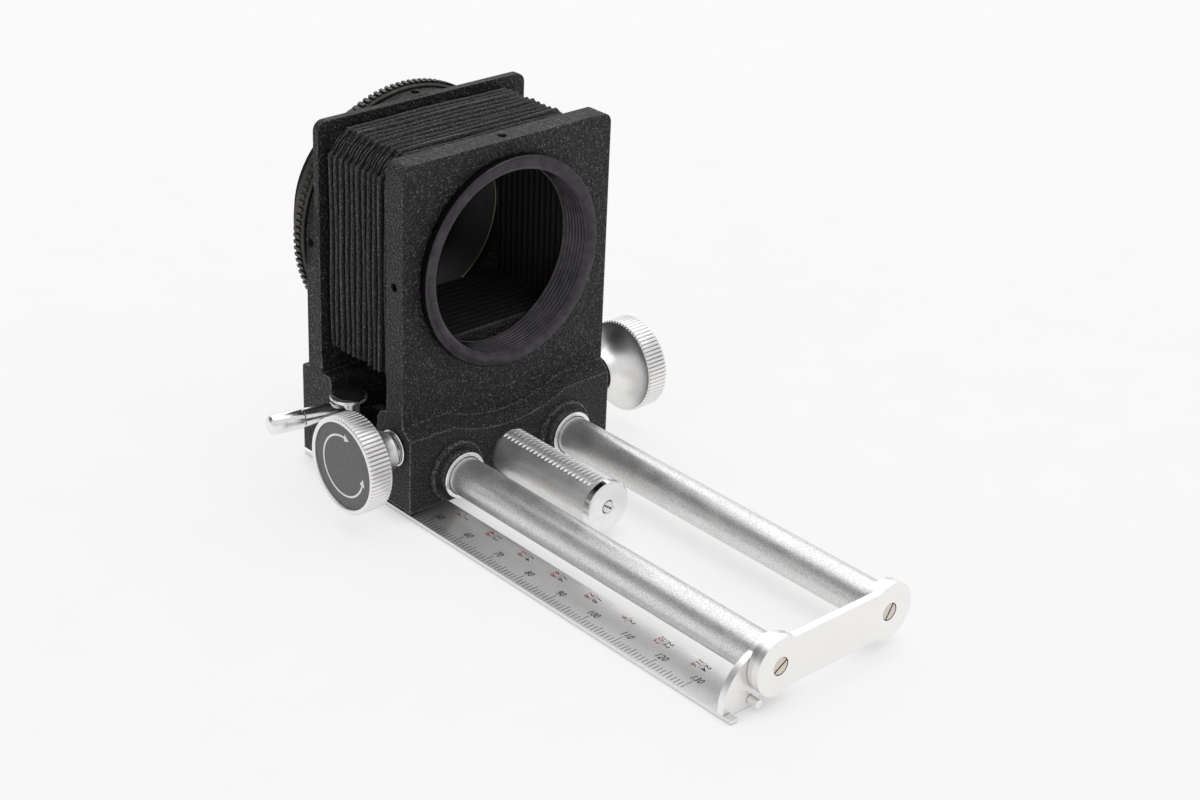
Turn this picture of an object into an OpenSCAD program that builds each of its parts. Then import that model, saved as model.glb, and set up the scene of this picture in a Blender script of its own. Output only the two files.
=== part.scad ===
// Macro bellows unit: a front board with a screw lens mount slides on two rails toward a rear board
// that carries the camera. A toothed rod between the rails focuses it through a pinion and two knobs.
// Millimetres. Z is up, the lens looks toward -Y, the camera sits toward +Y.
// The origin is the centre of the camera seat on the optical axis.

/* [Layout] */
// Height of the optical axis above the rail axes
axis_height = 45; // [44.5:0.25:46.5]
// Camera seat to the end plate's front face
end_reach = 145; // [142:1:155]
// Camera seat to the front board's front face
board_reach = 44.5; // [44:0.25:46]
// Camera seat to the rear board's front face
rear_reach = 15.6; // [15.3:0.1:16]
// Camera seat to the rod end disc's front face
disc_reach = 79.2; // [76:0.5:84]

/* [Rails] */
// Sideways distance of each rail axis from the middle
rail_x = 15.5; // [15.3:0.1:16]
// Rail radius
rail_r = 4.4; // [4.2:0.05:4.5]
// Wall of the sliding bushes inside the front foot
bush_wall = 0.65; // [0.55:0.05:0.75]
// Radius of the bush collars ahead of the foot
bush_collar_r = 5.4; // [5.25:0.05:5.6]
// How far the bush collars stand out
bush_reach = 2.4; // [2:0.1:3]
// Rail end distance from the foot's rear face
rail_inset = 0.5; // [0.3:0.1:1]

/* [End plate] */
// End plate thickness
end_t = 1.5; // [1.4:0.1:1.7]
// Radius of the end plate's lobes
lobe_r = 6.4; // [6.2:0.1:6.8]
// Half height of the end plate's waist
waist_h = 5.4; // [5:0.1:5.8]
// Radius of the end plate screw heads
end_head_r = 2.4; // [2.2:0.1:2.7]
// Depth of the end plate screw heads
end_head_t = 0.9; // [0.8:0.1:1.1]
// Radius of the end plate screw shanks
end_shank_r = 1.4; // [1.2:0.1:1.5]
// Length of the end plate screws under the head
end_shank_len = 12; // [11:0.5:14]
// Width of the screw slots
slot_w = 0.5; // [0.4:0.05:0.6]
// Depth of the screw slots
slot_d = 0.5; // [0.4:0.05:0.6]

/* [Scale] */
// Thickness of the scale strip
strip_t = 1; // [0.9:0.05:1.1]
// Outer edge of the strip from the middle
strip_out = 27.4; // [27:0.1:27.8]
// Inner edge of the strip from the middle
strip_in = 16.6; // [16.2:0.2:17.2]
// Resting plane below the rail axes
rest_drop = 8.8; // [8.6:0.1:9.2]
// Strip end behind the rear foot
strip_tail = 1.2; // [0.8:0.1:1.6]
// Thickness of the sector bracket
bracket_t = 1.5; // [1.3:0.1:1.7]
// Radius of the bracket round the rail's screw
bracket_r = 5.4; // [5.2:0.1:5.6]
// Radius of the bracket's curved edge
arc_r = 10.9; // [10.7:0.1:11]
// Centre of the curved edge outside the rail axis
arc_out = 1.2; // [1.1:0.1:1.3]
// Centre of the curved edge below the rail axes
arc_drop = 7.2; // [7:0.1:7.4]
// Length of the strip's tongue ahead of the bracket
tongue_reach = 2.2; // [1.8:0.2:2.8]
// Radius of the stub on the bracket
stub_r = 0.9; // [0.8:0.05:1]
// Length of the stub on the bracket
stub_len = 2.4; // [2:0.2:2.6]
// Stub outside the rail axis
stub_out = 4.7; // [4.5:0.1:4.9]
// Stub below the rail axes
stub_drop = 6.9; // [6.8:0.05:7]
// Thickness of the washers behind the end plate
washer_t = 1.5; // [1.4:0.1:1.6]
// Radius of the washers behind the end plate
washer_r = 6.2; // [6:0.1:6.3]
// Radius of the strip's rear screw
strip_screw_r = 1.2; // [1.1:0.1:1.3]
// Length of the strip's rear screw
strip_screw_len = 5; // [4.5:0.5:6]

/* [Front standard] */
// Half width of the front board
front_w = 28.4; // [28:0.1:29]
// Top of the front board above the optical axis
front_top = 27.2; // [26.8:0.2:28]
// Thickness of the front board
board_t = 5.4; // [5:0.1:5.8]
// Corner radius of both boards
corner_r = 2.3; // [2:0.1:3]
// Underside of both feet below the rail axes
foot_drop = 6.4; // [6.3:0.05:6.6]
// Depth of the foot ahead of the front board
ledge_d = 2.7; // [2.5:0.1:3]
// Top of the front ledge above the rail axes
ledge_rise = 13.2; // [12.8:0.2:13.6]
// Fall of the ledge's sloped top
ledge_fall = 2.4; // [2:0.1:2.6]
// Radius cleared round the lens above the ledge
clear_r = 35.5; // [35.3:0.1:36]
// Depth of the shoulder behind the front board
shoulder_d = 3.3; // [3:0.1:3.6]
// Top of the shoulder above the rail axes
shoulder_rise = 15.2; // [14.8:0.2:15.6]
// Radius of the low bosses round the rail holes
boss_r = 6.9; // [6.6:0.1:7.2]
// Height of the low bosses
boss_h = 0.6; // [0.4:0.1:0.8]

/* [Lens mount] */
// Inner radius of the lens thread
lens_thread_r = 20.46; // [20.2:0.02:20.6]
// Radius of the lens ring's face
lens_ring_r = 23.75; // [23.6:0.05:24]
// How far the lens ring stands out
lens_ring_h = 2.2; // [2:0.1:2.5]
// Radius of the sleeve inside the board
lens_sleeve_r = 22.4; // [22.2:0.05:22.6]
// Edge bevel of the lens ring
ring_bevel = 0.4; // [0.3:0.05:0.5]
// Radius of the grub screws in the board rims
grub_r = 1; // [0.9:0.05:1.1]
// Length of the grub screws
grub_len = 3; // [2.6:0.2:3.4]

/* [Rear standard] */
// Half width of the rear board
rear_w = 28.3; // [28:0.1:28.8]
// Top of the rear board above the optical axis
rear_top = 28.2; // [27.8:0.2:29]
// Thickness of the rear board's flange
flange_t = 1.8; // [1.6:0.1:2]
// Thickness of the arched pad
pad_t = 3.1; // [2.9:0.1:3.3]
// Depth of the rear foot ahead of the flange
shelf_d = 3.3; // [3:0.1:3.6]
// Top of the front shelf above the rail axes
shelf_rise = 15; // [14.6:0.2:15.4]
// Depth of the rear foot behind the pad
heel_d = 2.4; // [2.2:0.1:2.6]
// Edge radius of the rear foot
foot_round = 1.1; // [0.8:0.1:1.4]
// Length of the clamp lug
lug_d = 8.6; // [8.2:0.2:9]
// Outer side of the clamp lug from the middle
lug_out = 30.2; // [30:0.1:30.6]
// Inner side of the clamp lug from the middle
lug_in = 8.5; // [8:0.5:10]
// Top of the clamp lug above the rail axes
lug_rise = 5; // [4.6:0.2:5.4]
// Width of the clamp slit
slit_w = 1.2; // [1:0.1:1.4]
// Clearance of the left rail inside the lug
lug_clear = 0.8; // [0.6:0.1:1]
// Side length of the pads under the foot
pad_len = 7; // [6:0.5:8]

/* [Camera mount] */
// How far the knurled ring stands out from its sleeve
ring_reach = 4; // [3.7:0.1:4.4]
// Number of teeth round the knurled ring
ring_teeth = 122; // [118:1:124]
// Depth of the ring's tooth gaps
ring_tooth_d = 0.5; // [0.4:0.05:0.6]
// Gap between the pad and the knurled ring
ring_groove = 0.5; // [0.4:0.05:0.6]
// Thickness of the knurled ring
ring_t = 2.5; // [2.3:0.1:2.7]
// Bevel on the front edge of the knurled ring
ring_rim = 0.4; // [0.3:0.05:0.5]
// Wall of the sleeve round the bearing tube
sleeve_wall = 2.6; // [2.4:0.1:2.8]
// Sleeve's rear face ahead of the camera seat
sleeve_back = 2.2; // [2:0.1:2.4]
// Radius of the bearing tube
tube_r = 23; // [22.8:0.05:23.2]
// Wall of the bearing tube
tube_wall = 2.4; // [2.2:0.1:2.6]
// Height of the tube's shoulder ahead of the ring
thrust_h = 1.6; // [1.4:0.1:1.8]
// Height of the tube's lip inside the ring
lip_h = 0.8; // [0.75:0.05:0.85]
// Thickness of the tube's lip
lip_t = 1.2; // [1:0.1:1.4]
// Thickness of the camera seat plate
seat_t = 3; // [2.8:0.1:3.2]
// How far the camera seat plate's rim reaches past the tube
seat_reach = 1.1; // [1:0.05:1.2]
// Least gap between the knurled ring and the foot under it
ring_clear = 0.2; // [0.1:0.05:0.3]
// Step from the bearing tube in to the crest of the camera thread
thread_in = 2; // [1.8:0.05:2.2]
// Length of the camera thread
camera_thread_len = 4.2; // [3.8:0.2:4.6]
// Wall of the camera thread
thread_wall = 1.8; // [1.6:0.1:2]

/* [Rack and pinion] */
// Radius of the toothed rod
rod_r = 5.3; // [5.2:0.05:5.4]
// Rod axis below the rail axes
rod_sink = 0.3; // [0.2:0.05:0.4]
// Rod end behind the camera seat
rod_tail = 21; // [18:1:23]
// Tooth module of the rack and the pinion
tooth_m = 0.4; // [0.38:0.01:0.42]
// Teeth of the pinion
pinion_teeth = 14; // [14:1:15]
// Length of the pinion
pinion_len = 6; // [5:0.5:7]
// Number of gaps cut in the rod
rack_gaps = 32; // [31:1:33]
// Shaft radius
shaft_r = 1.75; // [1.65:0.05:1.8]
// Shaft behind the front board's front face
shaft_back = 3; // [2.9:0.05:3.2]
// Radius of the rod's end disc
disc_r = 5.8; // [5.6:0.1:6]
// Thickness of the rod's end disc
disc_t = 2; // [1.8:0.1:2.2]
// Head radius of the disc's screw
disc_head_r = 1.9; // [1.7:0.1:2.1]
// Head depth of the disc's screw
disc_head_t = 1; // [0.9:0.1:1.1]
// Shank radius of the disc's screw
disc_shank_r = 1; // [0.9:0.05:1.1]
// Shank length of the disc's screw
disc_shank_len = 6; // [5:0.5:7]

/* [Knobs] */
// Knob radius
knob_r = 10.9; // [10.8:0.1:11.1]
// Thickness of the knob's rim
knob_t = 5.5; // [5.2:0.1:5.8]
// Outer faces of the knobs from the middle
knob_out = 42.2; // [42:0.1:43]
// Number of ridges round a knob
knob_ridges = 72; // [70:1:74]
// Depth of the grooves between the ridges
ridge_d = 0.4; // [0.3:0.05:0.5]
// Radius of the plate in the knob's face
plate_r = 9.65; // [9.5:0.05:9.8]
// Thickness of the plate in the knob's face
plate_t = 0.5; // [0.4:0.05:0.6]
// Depth of the plate's face below the rim
plate_sink = 0.5; // [0.4:0.05:0.6]
// Hub radius
hub_r = 4.4; // [4.3:0.1:4.5]
// Gap between the shaft collars and the knob hubs
hub_gap = 0.5; // [0.4:0.05:0.6]
// Width of the step between the knob's rim and its flared back
lip_w = 0.8; // [0.7:0.1:1]
// Radius of the left shaft collar
left_collar_r = 4.1; // [4:0.1:4.3]
// Radius of the right shaft collar
right_collar_r = 4.5; // [4.4:0.1:4.7]
// Length of the shaft collars outside the foot
collar_len = 1.6; // [1.5:0.1:1.7]
// Radius of the collars inside the foot
spigot_r = 3; // [2.9:0.1:3.1]
// Length of the collars inside the foot
spigot_len = 6.4; // [6:0.2:6.8]
// Radius of the knob grub screws
knob_grub_r = 0.8; // [0.7:0.05:0.9]
// Length of the knob grub screws
knob_grub_len = 2.2; // [2:0.1:2.4]

/* [Clamp lever] */
// Clamp bolt from the middle
bolt_x = 27; // [26.8:0.1:27.1]
// Clamp bolt ahead of the rear foot's face
bolt_ahead = 4.6; // [4.5:0.1:4.8]
// Bolt radius
bolt_r = 1.5; // [1.4:0.05:1.55]
// Radius of the bolt's head under the lug
bolt_head_r = 2.8; // [2.6:0.1:2.9]
// Depth of the bolt's head
bolt_head_t = 2; // [1.8:0.1:2.2]
// Radius of the lever's stem
stem_r = 2.5; // [2.4:0.05:2.6]
// Lever axis above the rail axes
lever_rise = 9.5; // [9.3:0.1:9.8]
// Radius of the lever's cup
cup_r = 4.1; // [4:0.1:4.2]
// Thickness of the lever's cup
cup_h = 1.1; // [1:0.1:1.2]
// Top of the cup above the lever's axis
cup_rise = 2.2; // [2.1:0.1:2.4]
// Depth of the cap in the cup
cap_seat = 0.5; // [0.4:0.05:0.6]
// Radius of the glossy cap
cap_r = 3.75; // [3.65:0.05:3.85]
// Height of the cap above the cup
cap_h = 0.7; // [0.6:0.05:0.8]
// Lever length from the bolt to the tip
lever_len = 19.4; // [19:0.2:20]
// Radius of the lever's rod
lever_r = 2.05; // [1.95:0.05:2.1]
// Radius of the lever's grip
grip_r = 2.3; // [2.2:0.05:2.35]
// Length of the lever's grip
grip_len = 7.9; // [7.5:0.1:8.2]
// Turn of the lever toward the rear
lever_turn = 10; // [9:1:11]

/* [Bellows] */
// Number of pleats
pleats = 12; // [11:1:13]
// Half width of the pleats
pleat_w = 26; // [25.7:0.1:26.3]
// Top of the pleats above the optical axis
pleat_top = 26; // [25.6:0.1:26.3]
// Bottom of the pleats below the optical axis
pleat_low = 23.4; // [23:0.1:23.8]
// Depth of the pleats
pleat_d = 3.7; // [3.5:0.1:3.9]
// Thickness of the pleated cloth seen across a fold
cloth = 1.6; // [1.5:0.05:1.7]
// Corner bevel of the pleats
pleat_bevel = 4.7; // [4.2:0.1:5]
// Thickness of the bellows frames
frame_t = 0.7; // [0.6:0.05:0.8]
// Half width of the opening in the bellows frames
frame_hole = 20.7; // [20.6:0.05:20.8]

/* [Clearances] */
// Radial gap of snug fits
snug = 0.02; // [0.02:0.01:0.03]
// Radial gap of running fits
run = 0.05; // [0.04:0.01:0.06]
// Gap between parts that pass each other
pass = 0.4; // [0.35:0.05:0.45]
// Least gap between the folds and the feet under them
fold_clear = 0.5; // [0.4:0.1:0.6]
// Overrun of every cut
over = 0.6; // [0.5:0.1:0.8]

/* [Hidden] */
$fn = 64;

casting = [0.12, 0.12, 0.12];
satin = [0.72, 0.72, 0.7];
chrome = [0.86, 0.86, 0.87];
blackened = [0.2, 0.19, 0.2];
brass = [0.72, 0.58, 0.3];
cloth_black = [0.07, 0.07, 0.07];
plate_grey = [0.36, 0.36, 0.37];
gloss_black = [0.05, 0.05, 0.06];

z_rail = -axis_height;
z_rod = z_rail - rod_sink;
z_base = z_rail - foot_drop;
z_rest = z_rail - rest_drop;
z_strip = z_rest + strip_t;
z_ledge = z_rail + ledge_rise;
z_shoulder = z_rail + shoulder_rise;
z_shelf = z_rail + shelf_rise;
z_lug = z_rail + lug_rise;
z_lever = z_rail + lever_rise;

y_end = -end_reach;
y_washer = y_end + end_t;
y_bracket = y_washer + washer_t;
y_strip = y_bracket + bracket_t;
y_board = -board_reach;
y_back = y_board + board_t;
y_foot = y_board - ledge_d;
y_boss = y_foot - boss_h;
y_heel = y_back + shoulder_d;
y_lens = y_board - lens_ring_h;
y_rear = -rear_reach;
y_pad = y_rear + flange_t;
y_pad_back = y_pad + pad_t;
y_shelf = y_rear - shelf_d;
y_rear_heel = y_pad_back + heel_d;
y_lug = y_shelf - lug_d;
y_ring = y_pad_back + ring_groove;
y_ring_back = y_ring + ring_t;
y_lip = -seat_t - lip_t - run * 4;
y_disc = -disc_reach;
y_rod = y_disc + disc_t;
y_shaft = y_board + shaft_back;
y_bolt = y_shelf - bolt_ahead;
y_mid_foot = (y_shelf + y_rear_heel) / 2;
y_lens_grub = y_board + board_t / 2;
y_pad_grub = y_pad + pad_t / 2;

// Gear proportions as shares of the module, with stub teeth that need no undercut
tip_share = 0.8;
root_share = 1.05;
thin_share = 0.08;
pressure = 20;
pitch_r = tooth_m * pinion_teeth / 2;
base_r = pitch_r * cos(pressure);
tip_r = pitch_r + tooth_m * tip_share;
root_r = pitch_r - tooth_m * root_share;
rack_pitch = PI * tooth_m;
z_shaft = z_rod + rod_r - tooth_m * tip_share + pitch_r;
z_pitch = z_shaft - pitch_r;
flank_steps = 4;
gaps_behind = 5;

knob_x = knob_out - knob_t;
hub_len = knob_x - front_w - collar_len - hub_gap;
bush_r = rail_r + run + bush_wall;
tube_bore_r = tube_r - tube_wall;
camera_thread_r = tube_r - thread_in;
camera_bore_r = camera_thread_r - thread_wall;
sleeve_r = tube_r + sleeve_wall;
ring_r = sleeve_r + ring_reach;
thrust_r = tube_r + thrust_h;
lip_r = tube_r + lip_h;
seat_r = tube_r + seat_reach;
pad_out = strip_out - snug * 4;
end_gap = snug * 5;
tooth_share = 0.5;
left_slot_turn = -30;
right_slot_turn = -60;
disc_slot_turn = 35;

module along_x(r, x0, x1, y, z) translate([x0, y, z]) rotate([0, 90, 0]) cylinder(r = r, h = x1 - x0);
module along_y(r, y0, y1, x, z) translate([x, y0, z]) rotate([-90, 0, 0]) cylinder(r = r, h = y1 - y0);
module along_z(r, z0, z1, x, y) translate([x, y, z0]) cylinder(r = r, h = z1 - z0);
module box(x0, x1, y0, y1, z0, z1) translate([x0, y0, z0]) cube([x1 - x0, y1 - y0, z1 - z0]);
module prism_x(x0, x1) translate([x0, 0, 0]) rotate([90, 0, 90]) linear_extrude(x1 - x0) children();
module prism_y(y0, y1) translate([0, y1, 0]) rotate([90, 0, 0]) linear_extrude(y1 - y0) children();

// Flat area from x0 to x1 and z0 to z1
module area(x0, x1, z0, z1) translate([x0, z0]) square([x1 - x0, z1 - z0]);

// Board outline with two round top corners
module board_area(w, top) {
    area(-w, w, z_base, top - corner_r);
    area(-w + corner_r, w - corner_r, z_base, top);
    for (s = [-1, 1]) translate([s * (w - corner_r), top - corner_r]) circle(corner_r);
}

// Round profile with straight tooth gaps
module knurl(r, count, depth, share) difference() {
    circle(r);
    for (i = [0 : count - 1]) rotate(i * 360 / count)
        translate([r - depth, -PI * r * share / count]) square([depth + over, 2 * PI * r * share / count]);
}

// Flat front ledge of the front foot with a slope that follows the cleared circle
module front_ledge() difference() {
    box(-front_w, front_w, y_foot, y_board + over, z_base, z_ledge);
    along_y(clear_r, y_foot - over, y_board, 0, 0);
    translate([0, y_foot - over, 0]) rotate([-90, 0, 0])
        cylinder(r1 = clear_r + ledge_fall * (ledge_d + over) / ledge_d, r2 = clear_r, h = ledge_d + over);
    prism_x(-front_w - over, front_w + over) polygon([
        [y_foot - over, z_ledge - ledge_fall * (ledge_d + over) / ledge_d],
        [y_board, z_ledge],
        [y_board, z_ledge + over],
        [y_foot - over, z_ledge + over]]);
}

// Room for the folds between two planes, with the gap that they keep from both feet
module fold_room(y0, y1) prism_y(y0, y1)
    area(-pleat_w - fold_clear, pleat_w + fold_clear, -pleat_low - fold_clear, pleat_top);

// Casting of the front board and its foot
module front_standard() color(casting) difference() {
    union() {
        prism_y(y_board, y_back) board_area(front_w, front_top);
        front_ledge();
        box(-front_w, front_w, y_back, y_heel, z_base, z_shoulder - shoulder_d);
        along_x(shoulder_d, -front_w, front_w, y_back, z_shoulder - shoulder_d);
        for (s = [-1, 1]) intersection() {
            along_y(boss_r, y_boss, y_foot + over, s * rail_x, z_rail);
            box(-front_w, front_w, y_foot - over * 2, y_foot + over, z_base, z_ledge);
        }
    }
    fold_room(y_back, y_heel + over);
    along_y(lens_sleeve_r + snug, y_board - over, y_back + over, 0, 0);
    for (s = [-1, 1]) along_y(bush_r + snug, y_boss - over, y_heel + over, s * rail_x, z_rail);
    along_y(rod_r + run, y_foot - over, y_heel + over, 0, z_rod);
    along_x(tip_r + pass * 0.8, -pinion_len / 2 - pass, pinion_len / 2 + pass, y_shaft, z_shaft);
    along_x(shaft_r + run, -front_w - over, front_w + over, y_shaft, z_shaft);
    for (s = [-1, 1]) along_x(spigot_r + snug, s > 0 ? front_w - spigot_len : -front_w - over,
        s > 0 ? front_w + over : -front_w + spigot_len, y_shaft, z_shaft);
    along_z(grub_r + snug, lens_sleeve_r - over, front_top + over, 0, y_lens_grub);
    along_x(grub_r + snug, -front_w - over, -lens_sleeve_r + over, y_lens_grub, 0);
    along_x(grub_r + snug, lens_sleeve_r - over, front_w + over, y_lens_grub, 0);
}

// Ring with the lens thread and its sleeve through the board
module lens_mount_ring() color(blackened) difference() {
    union() {
        along_y(lens_ring_r, y_lens + ring_bevel, y_board, 0, 0);
        translate([0, y_lens, 0]) rotate([-90, 0, 0])
            cylinder(r1 = lens_ring_r - ring_bevel, r2 = lens_ring_r, h = ring_bevel);
        along_y(lens_sleeve_r, y_board - over, y_back, 0, 0);
    }
    along_y(lens_thread_r, y_lens - over, y_back + over, 0, 0);
}

// Grub screws in the front board's rim, one on top and one on each side
module lens_mount_grub_screws() color(blackened) {
    z0 = lens_sleeve_r + snug * 2;
    along_z(grub_r, z0, z0 + grub_len, 0, y_lens_grub);
    along_x(grub_r, z0, z0 + grub_len, y_lens_grub, 0);
    along_x(grub_r, -z0 - grub_len, -z0, y_lens_grub, 0);
}

// Sliding bush of one rail with its collar
module rail_bush(s) color(chrome) difference() {
    union() {
        along_y(bush_collar_r, y_boss - bush_reach, y_boss - snug, s * rail_x, z_rail);
        along_y(bush_r, y_boss - over, y_heel - end_gap, s * rail_x, z_rail);
    }
    along_y(rail_r + run, y_boss - bush_reach - over, y_heel + over, s * rail_x, z_rail);
}
module left_rail_bush() rail_bush(-1);
module right_rail_bush() rail_bush(1);

// Flat frame that holds one end of the bellows
module bellows_frame(y0) color(casting) prism_y(y0, y0 + frame_t) difference() {
    area(-pleat_w + frame_t, pleat_w - frame_t, -pleat_low + frame_t, pleat_top - frame_t);
    area(-frame_hole, frame_hole, -pleat_low + pleat_w - frame_hole, pleat_top - pleat_w + frame_hole);
}
module front_bellows_frame() bellows_frame(y_back);
module rear_bellows_frame() bellows_frame(y_rear - frame_t);

// Eight corners of one fold of the bellows, drawn in by a given depth
function fold_ring(y, in, bevel) = [
    for (p = [[1, -1, 0, 1], [1, 1, 0, -1], [1, 1, -1, 0], [-1, 1, 1, 0],
              [-1, 1, 0, -1], [-1, -1, 0, 1], [-1, -1, 1, 0], [1, -1, -1, 0]])
        [p[0] * (pleat_w - in) + p[2] * bevel, y,
         (p[1] > 0 ? pleat_top - in : -pleat_low + in) + p[3] * bevel]];

// Pleated tube between the two frames, open from end to end
module bellows() color(cloth_black) {
    rings = 2 * pleats + 1;
    y0 = y_back + frame_t;
    step = (y_rear - frame_t - y0) / (rings - 1);
    fold_bevel_share = 0.7;
    outer = [for (i = [0 : rings - 1]) fold_ring(y0 + i * step, i % 2 == 0 ? pleat_d : 0,
        i % 2 == 0 ? pleat_bevel * fold_bevel_share : pleat_bevel)];
    inner = [for (i = [0 : rings - 1]) fold_ring(y0 + i * step, (i % 2 == 0 ? pleat_d : 0) + cloth,
        i % 2 == 0 ? pleat_bevel * fold_bevel_share : pleat_bevel)];
    n = 8;
    o = rings * n;
    e = (rings - 1) * n;
    polyhedron(points = [for (r = concat(outer, inner)) for (p = r) p], faces = concat(
        [for (i = [0 : rings - 2]) for (j = [0 : n - 1])
            [i * n + j, (i + 1) * n + j, (i + 1) * n + (j + 1) % n]],
        [for (i = [0 : rings - 2]) for (j = [0 : n - 1])
            [i * n + j, (i + 1) * n + (j + 1) % n, i * n + (j + 1) % n]],
        [for (i = [0 : rings - 2]) for (j = [0 : n - 1])
            [o + i * n + j, o + (i + 1) * n + (j + 1) % n, o + (i + 1) * n + j]],
        [for (i = [0 : rings - 2]) for (j = [0 : n - 1])
            [o + i * n + j, o + i * n + (j + 1) % n, o + (i + 1) * n + (j + 1) % n]],
        [for (j = [0 : n - 1]) [j, (j + 1) % n, o + (j + 1) % n]],
        [for (j = [0 : n - 1]) [j, o + (j + 1) % n, o + j]],
        [for (j = [0 : n - 1]) [e + j, o + e + (j + 1) % n, e + (j + 1) % n]],
        [for (j = [0 : n - 1]) [e + j, o + e + j, o + e + (j + 1) % n]]));
}

// Side view of the rear foot with round upper edges
module rear_foot_area() {
    area(y_shelf, y_rear_heel, z_base, z_shelf - foot_round);
    area(y_shelf + foot_round, y_rear_heel - foot_round, z_base, z_shelf);
    for (y = [y_shelf + foot_round, y_rear_heel - foot_round])
        translate([y, z_shelf - foot_round]) circle(foot_round);
}

// Casting of the rear board with its arched pad, foot and clamp lug
module rear_standard() color(casting) difference() {
    union() {
        prism_y(y_rear, y_pad) board_area(rear_w, rear_top);
        prism_y(y_pad - over, y_pad_back) {
            circle(rear_w);
            area(-rear_w, rear_w, z_base, 0);
        }
        prism_x(-rear_w, rear_w) rear_foot_area();
        box(-lug_out, lug_in, y_lug, y_shelf + over, z_base, z_lug);
        box(-pad_out, -pad_out + pad_len, y_mid_foot - pad_len / 2, y_mid_foot + pad_len / 2, z_strip, z_base + over);
        box(rear_w - pad_len, rear_w, y_mid_foot - pad_len / 2, y_mid_foot + pad_len / 2, z_rest, z_base + over);
    }
    fold_room(y_shelf - over, y_rear);
    along_y(tube_r + snug, y_rear - over, y_rear_heel + over, 0, 0);
    along_y(ring_r + ring_clear, y_pad_back, y_rear_heel + over, 0, 0);
    for (s = [-1, 1]) along_y(rail_r + snug, y_shelf - over, y_rear_heel + over, s * rail_x, z_rail);
    along_y(rail_r + lug_clear, y_lug - over, y_shelf, -rail_x, z_rail);
    along_y(rod_r + run, y_lug - over, y_rear_heel + over, 0, z_rod);
    box(-lug_out - over, 0, y_lug - over, y_shelf, z_rod - slit_w / 2, z_rod + slit_w / 2);
    along_z(bolt_r + snug, z_base - over, z_lug + over, -bolt_x, y_bolt);
    along_z(bolt_head_r + snug, z_base - over, z_base + bolt_head_t + snug, -bolt_x, y_bolt);
    for (s = [-1, 1]) along_z(grub_r + snug, z_base - over, z_rail, s * rail_x, y_mid_foot);
    along_z(strip_screw_r + snug, z_rest - over, z_rest + strip_screw_len + over, -pad_out + pad_len / 2, y_mid_foot);
    along_z(grub_r + snug, tube_r - over, rear_w + over, 0, y_pad_grub);
    along_x(grub_r + snug, -rear_w - over, -tube_r + over, y_pad_grub, 0);
}

// Bearing tube that carries the camera ring
module rear_mount_flange() color(blackened) difference() {
    union() {
        along_y(tube_r, y_rear, -seat_t - run * 4, 0, 0);
        along_y(thrust_r, y_pad_back, y_ring - run, 0, 0);
        along_y(lip_r, y_lip, y_lip + lip_t, 0, 0);
    }
    along_y(tube_bore_r, y_rear - over, over, 0, 0);
}

// Grub screws in the arched pad's rim
module rear_mount_grub_screws() color(blackened) {
    z0 = tube_r + snug * 2;
    along_z(grub_r, z0, z0 + grub_len, 0, y_pad_grub);
    along_x(grub_r, -z0 - grub_len, -z0, y_pad_grub, 0);
}

// Knurled ring that turns on the bearing tube
module camera_mount_ring() color(blackened) difference() {
    union() {
        prism_y(y_ring + ring_rim, y_ring_back) knurl(ring_r, ring_teeth, ring_tooth_d, tooth_share);
        translate([0, y_ring, 0]) rotate([-90, 0, 0])
            cylinder(r1 = ring_r - ring_tooth_d - ring_rim, r2 = ring_r - ring_tooth_d, h = ring_rim);
        along_y(sleeve_r, y_ring_back - over, -sleeve_back, 0, 0);
    }
    along_y(tube_r + run, y_ring - over, over, 0, 0);
    along_y(lip_r + run, y_lip - run, over, 0, 0);
    along_y(seat_r + snug, -seat_t, over, 0, 0);
}

// Camera seat plate with its male thread
module camera_mount_thread() color(satin) difference() {
    union() {
        along_y(seat_r, -seat_t, 0, 0, 0);
        along_y(camera_thread_r, -over, camera_thread_len, 0, 0);
    }
    along_y(camera_bore_r, -seat_t - over, camera_thread_len + over, 0, 0);
}

// One rail with the thread hole for its end screw
module rail(s, y0) color(satin) difference() {
    along_y(rail_r, y0, y_rear_heel - rail_inset, s * rail_x, z_rail);
    along_y(end_shank_r + snug, y0 - over, y_end + end_head_t + end_shank_len + over, s * rail_x, z_rail);
}
module left_rail() rail(-1, y_strip);
module right_rail() rail(1, y_bracket);

// Set screws that hold the rails in the rear foot
module rail_set_screws() color(blackened)
    for (s = [-1, 1]) along_z(grub_r, z_base + pass, z_rail - rail_r - snug, s * rail_x, y_mid_foot);

// Dog-bone plate across the rail ends
module end_plate() color(satin) difference() {
    prism_y(y_end, y_washer) {
        area(-rail_x, rail_x, z_rail - waist_h, z_rail + waist_h);
        for (s = [-1, 1]) translate([s * rail_x, z_rail]) circle(lobe_r);
    }
    for (s = [-1, 1]) {
        along_y(end_shank_r + snug, y_end - over, y_washer + over, s * rail_x, z_rail);
        along_y(end_head_r + snug, y_end - over, y_end + end_head_t, s * rail_x, z_rail);
    }
}

// Slotted screw along Y with its face at y0
module slotted_screw(x, y0, z, head_r, head_t, shank_r, shank_len, turn) difference() {
    union() {
        along_y(head_r, y0, y0 + head_t, x, z);
        along_y(shank_r, y0 + head_t - slot_d, y0 + head_t + shank_len, x, z);
    }
    translate([x, y0, z]) rotate([0, turn, 0]) box(-head_r - over, head_r + over, -over, slot_d, -slot_w / 2, slot_w / 2);
}
module end_plate_screws() color(brass) for (s = [-1, 1])
    slotted_screw(s * rail_x, y_end, z_rail, end_head_r, end_head_t, end_shank_r, end_shank_len,
        s < 0 ? left_slot_turn : right_slot_turn);

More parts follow.
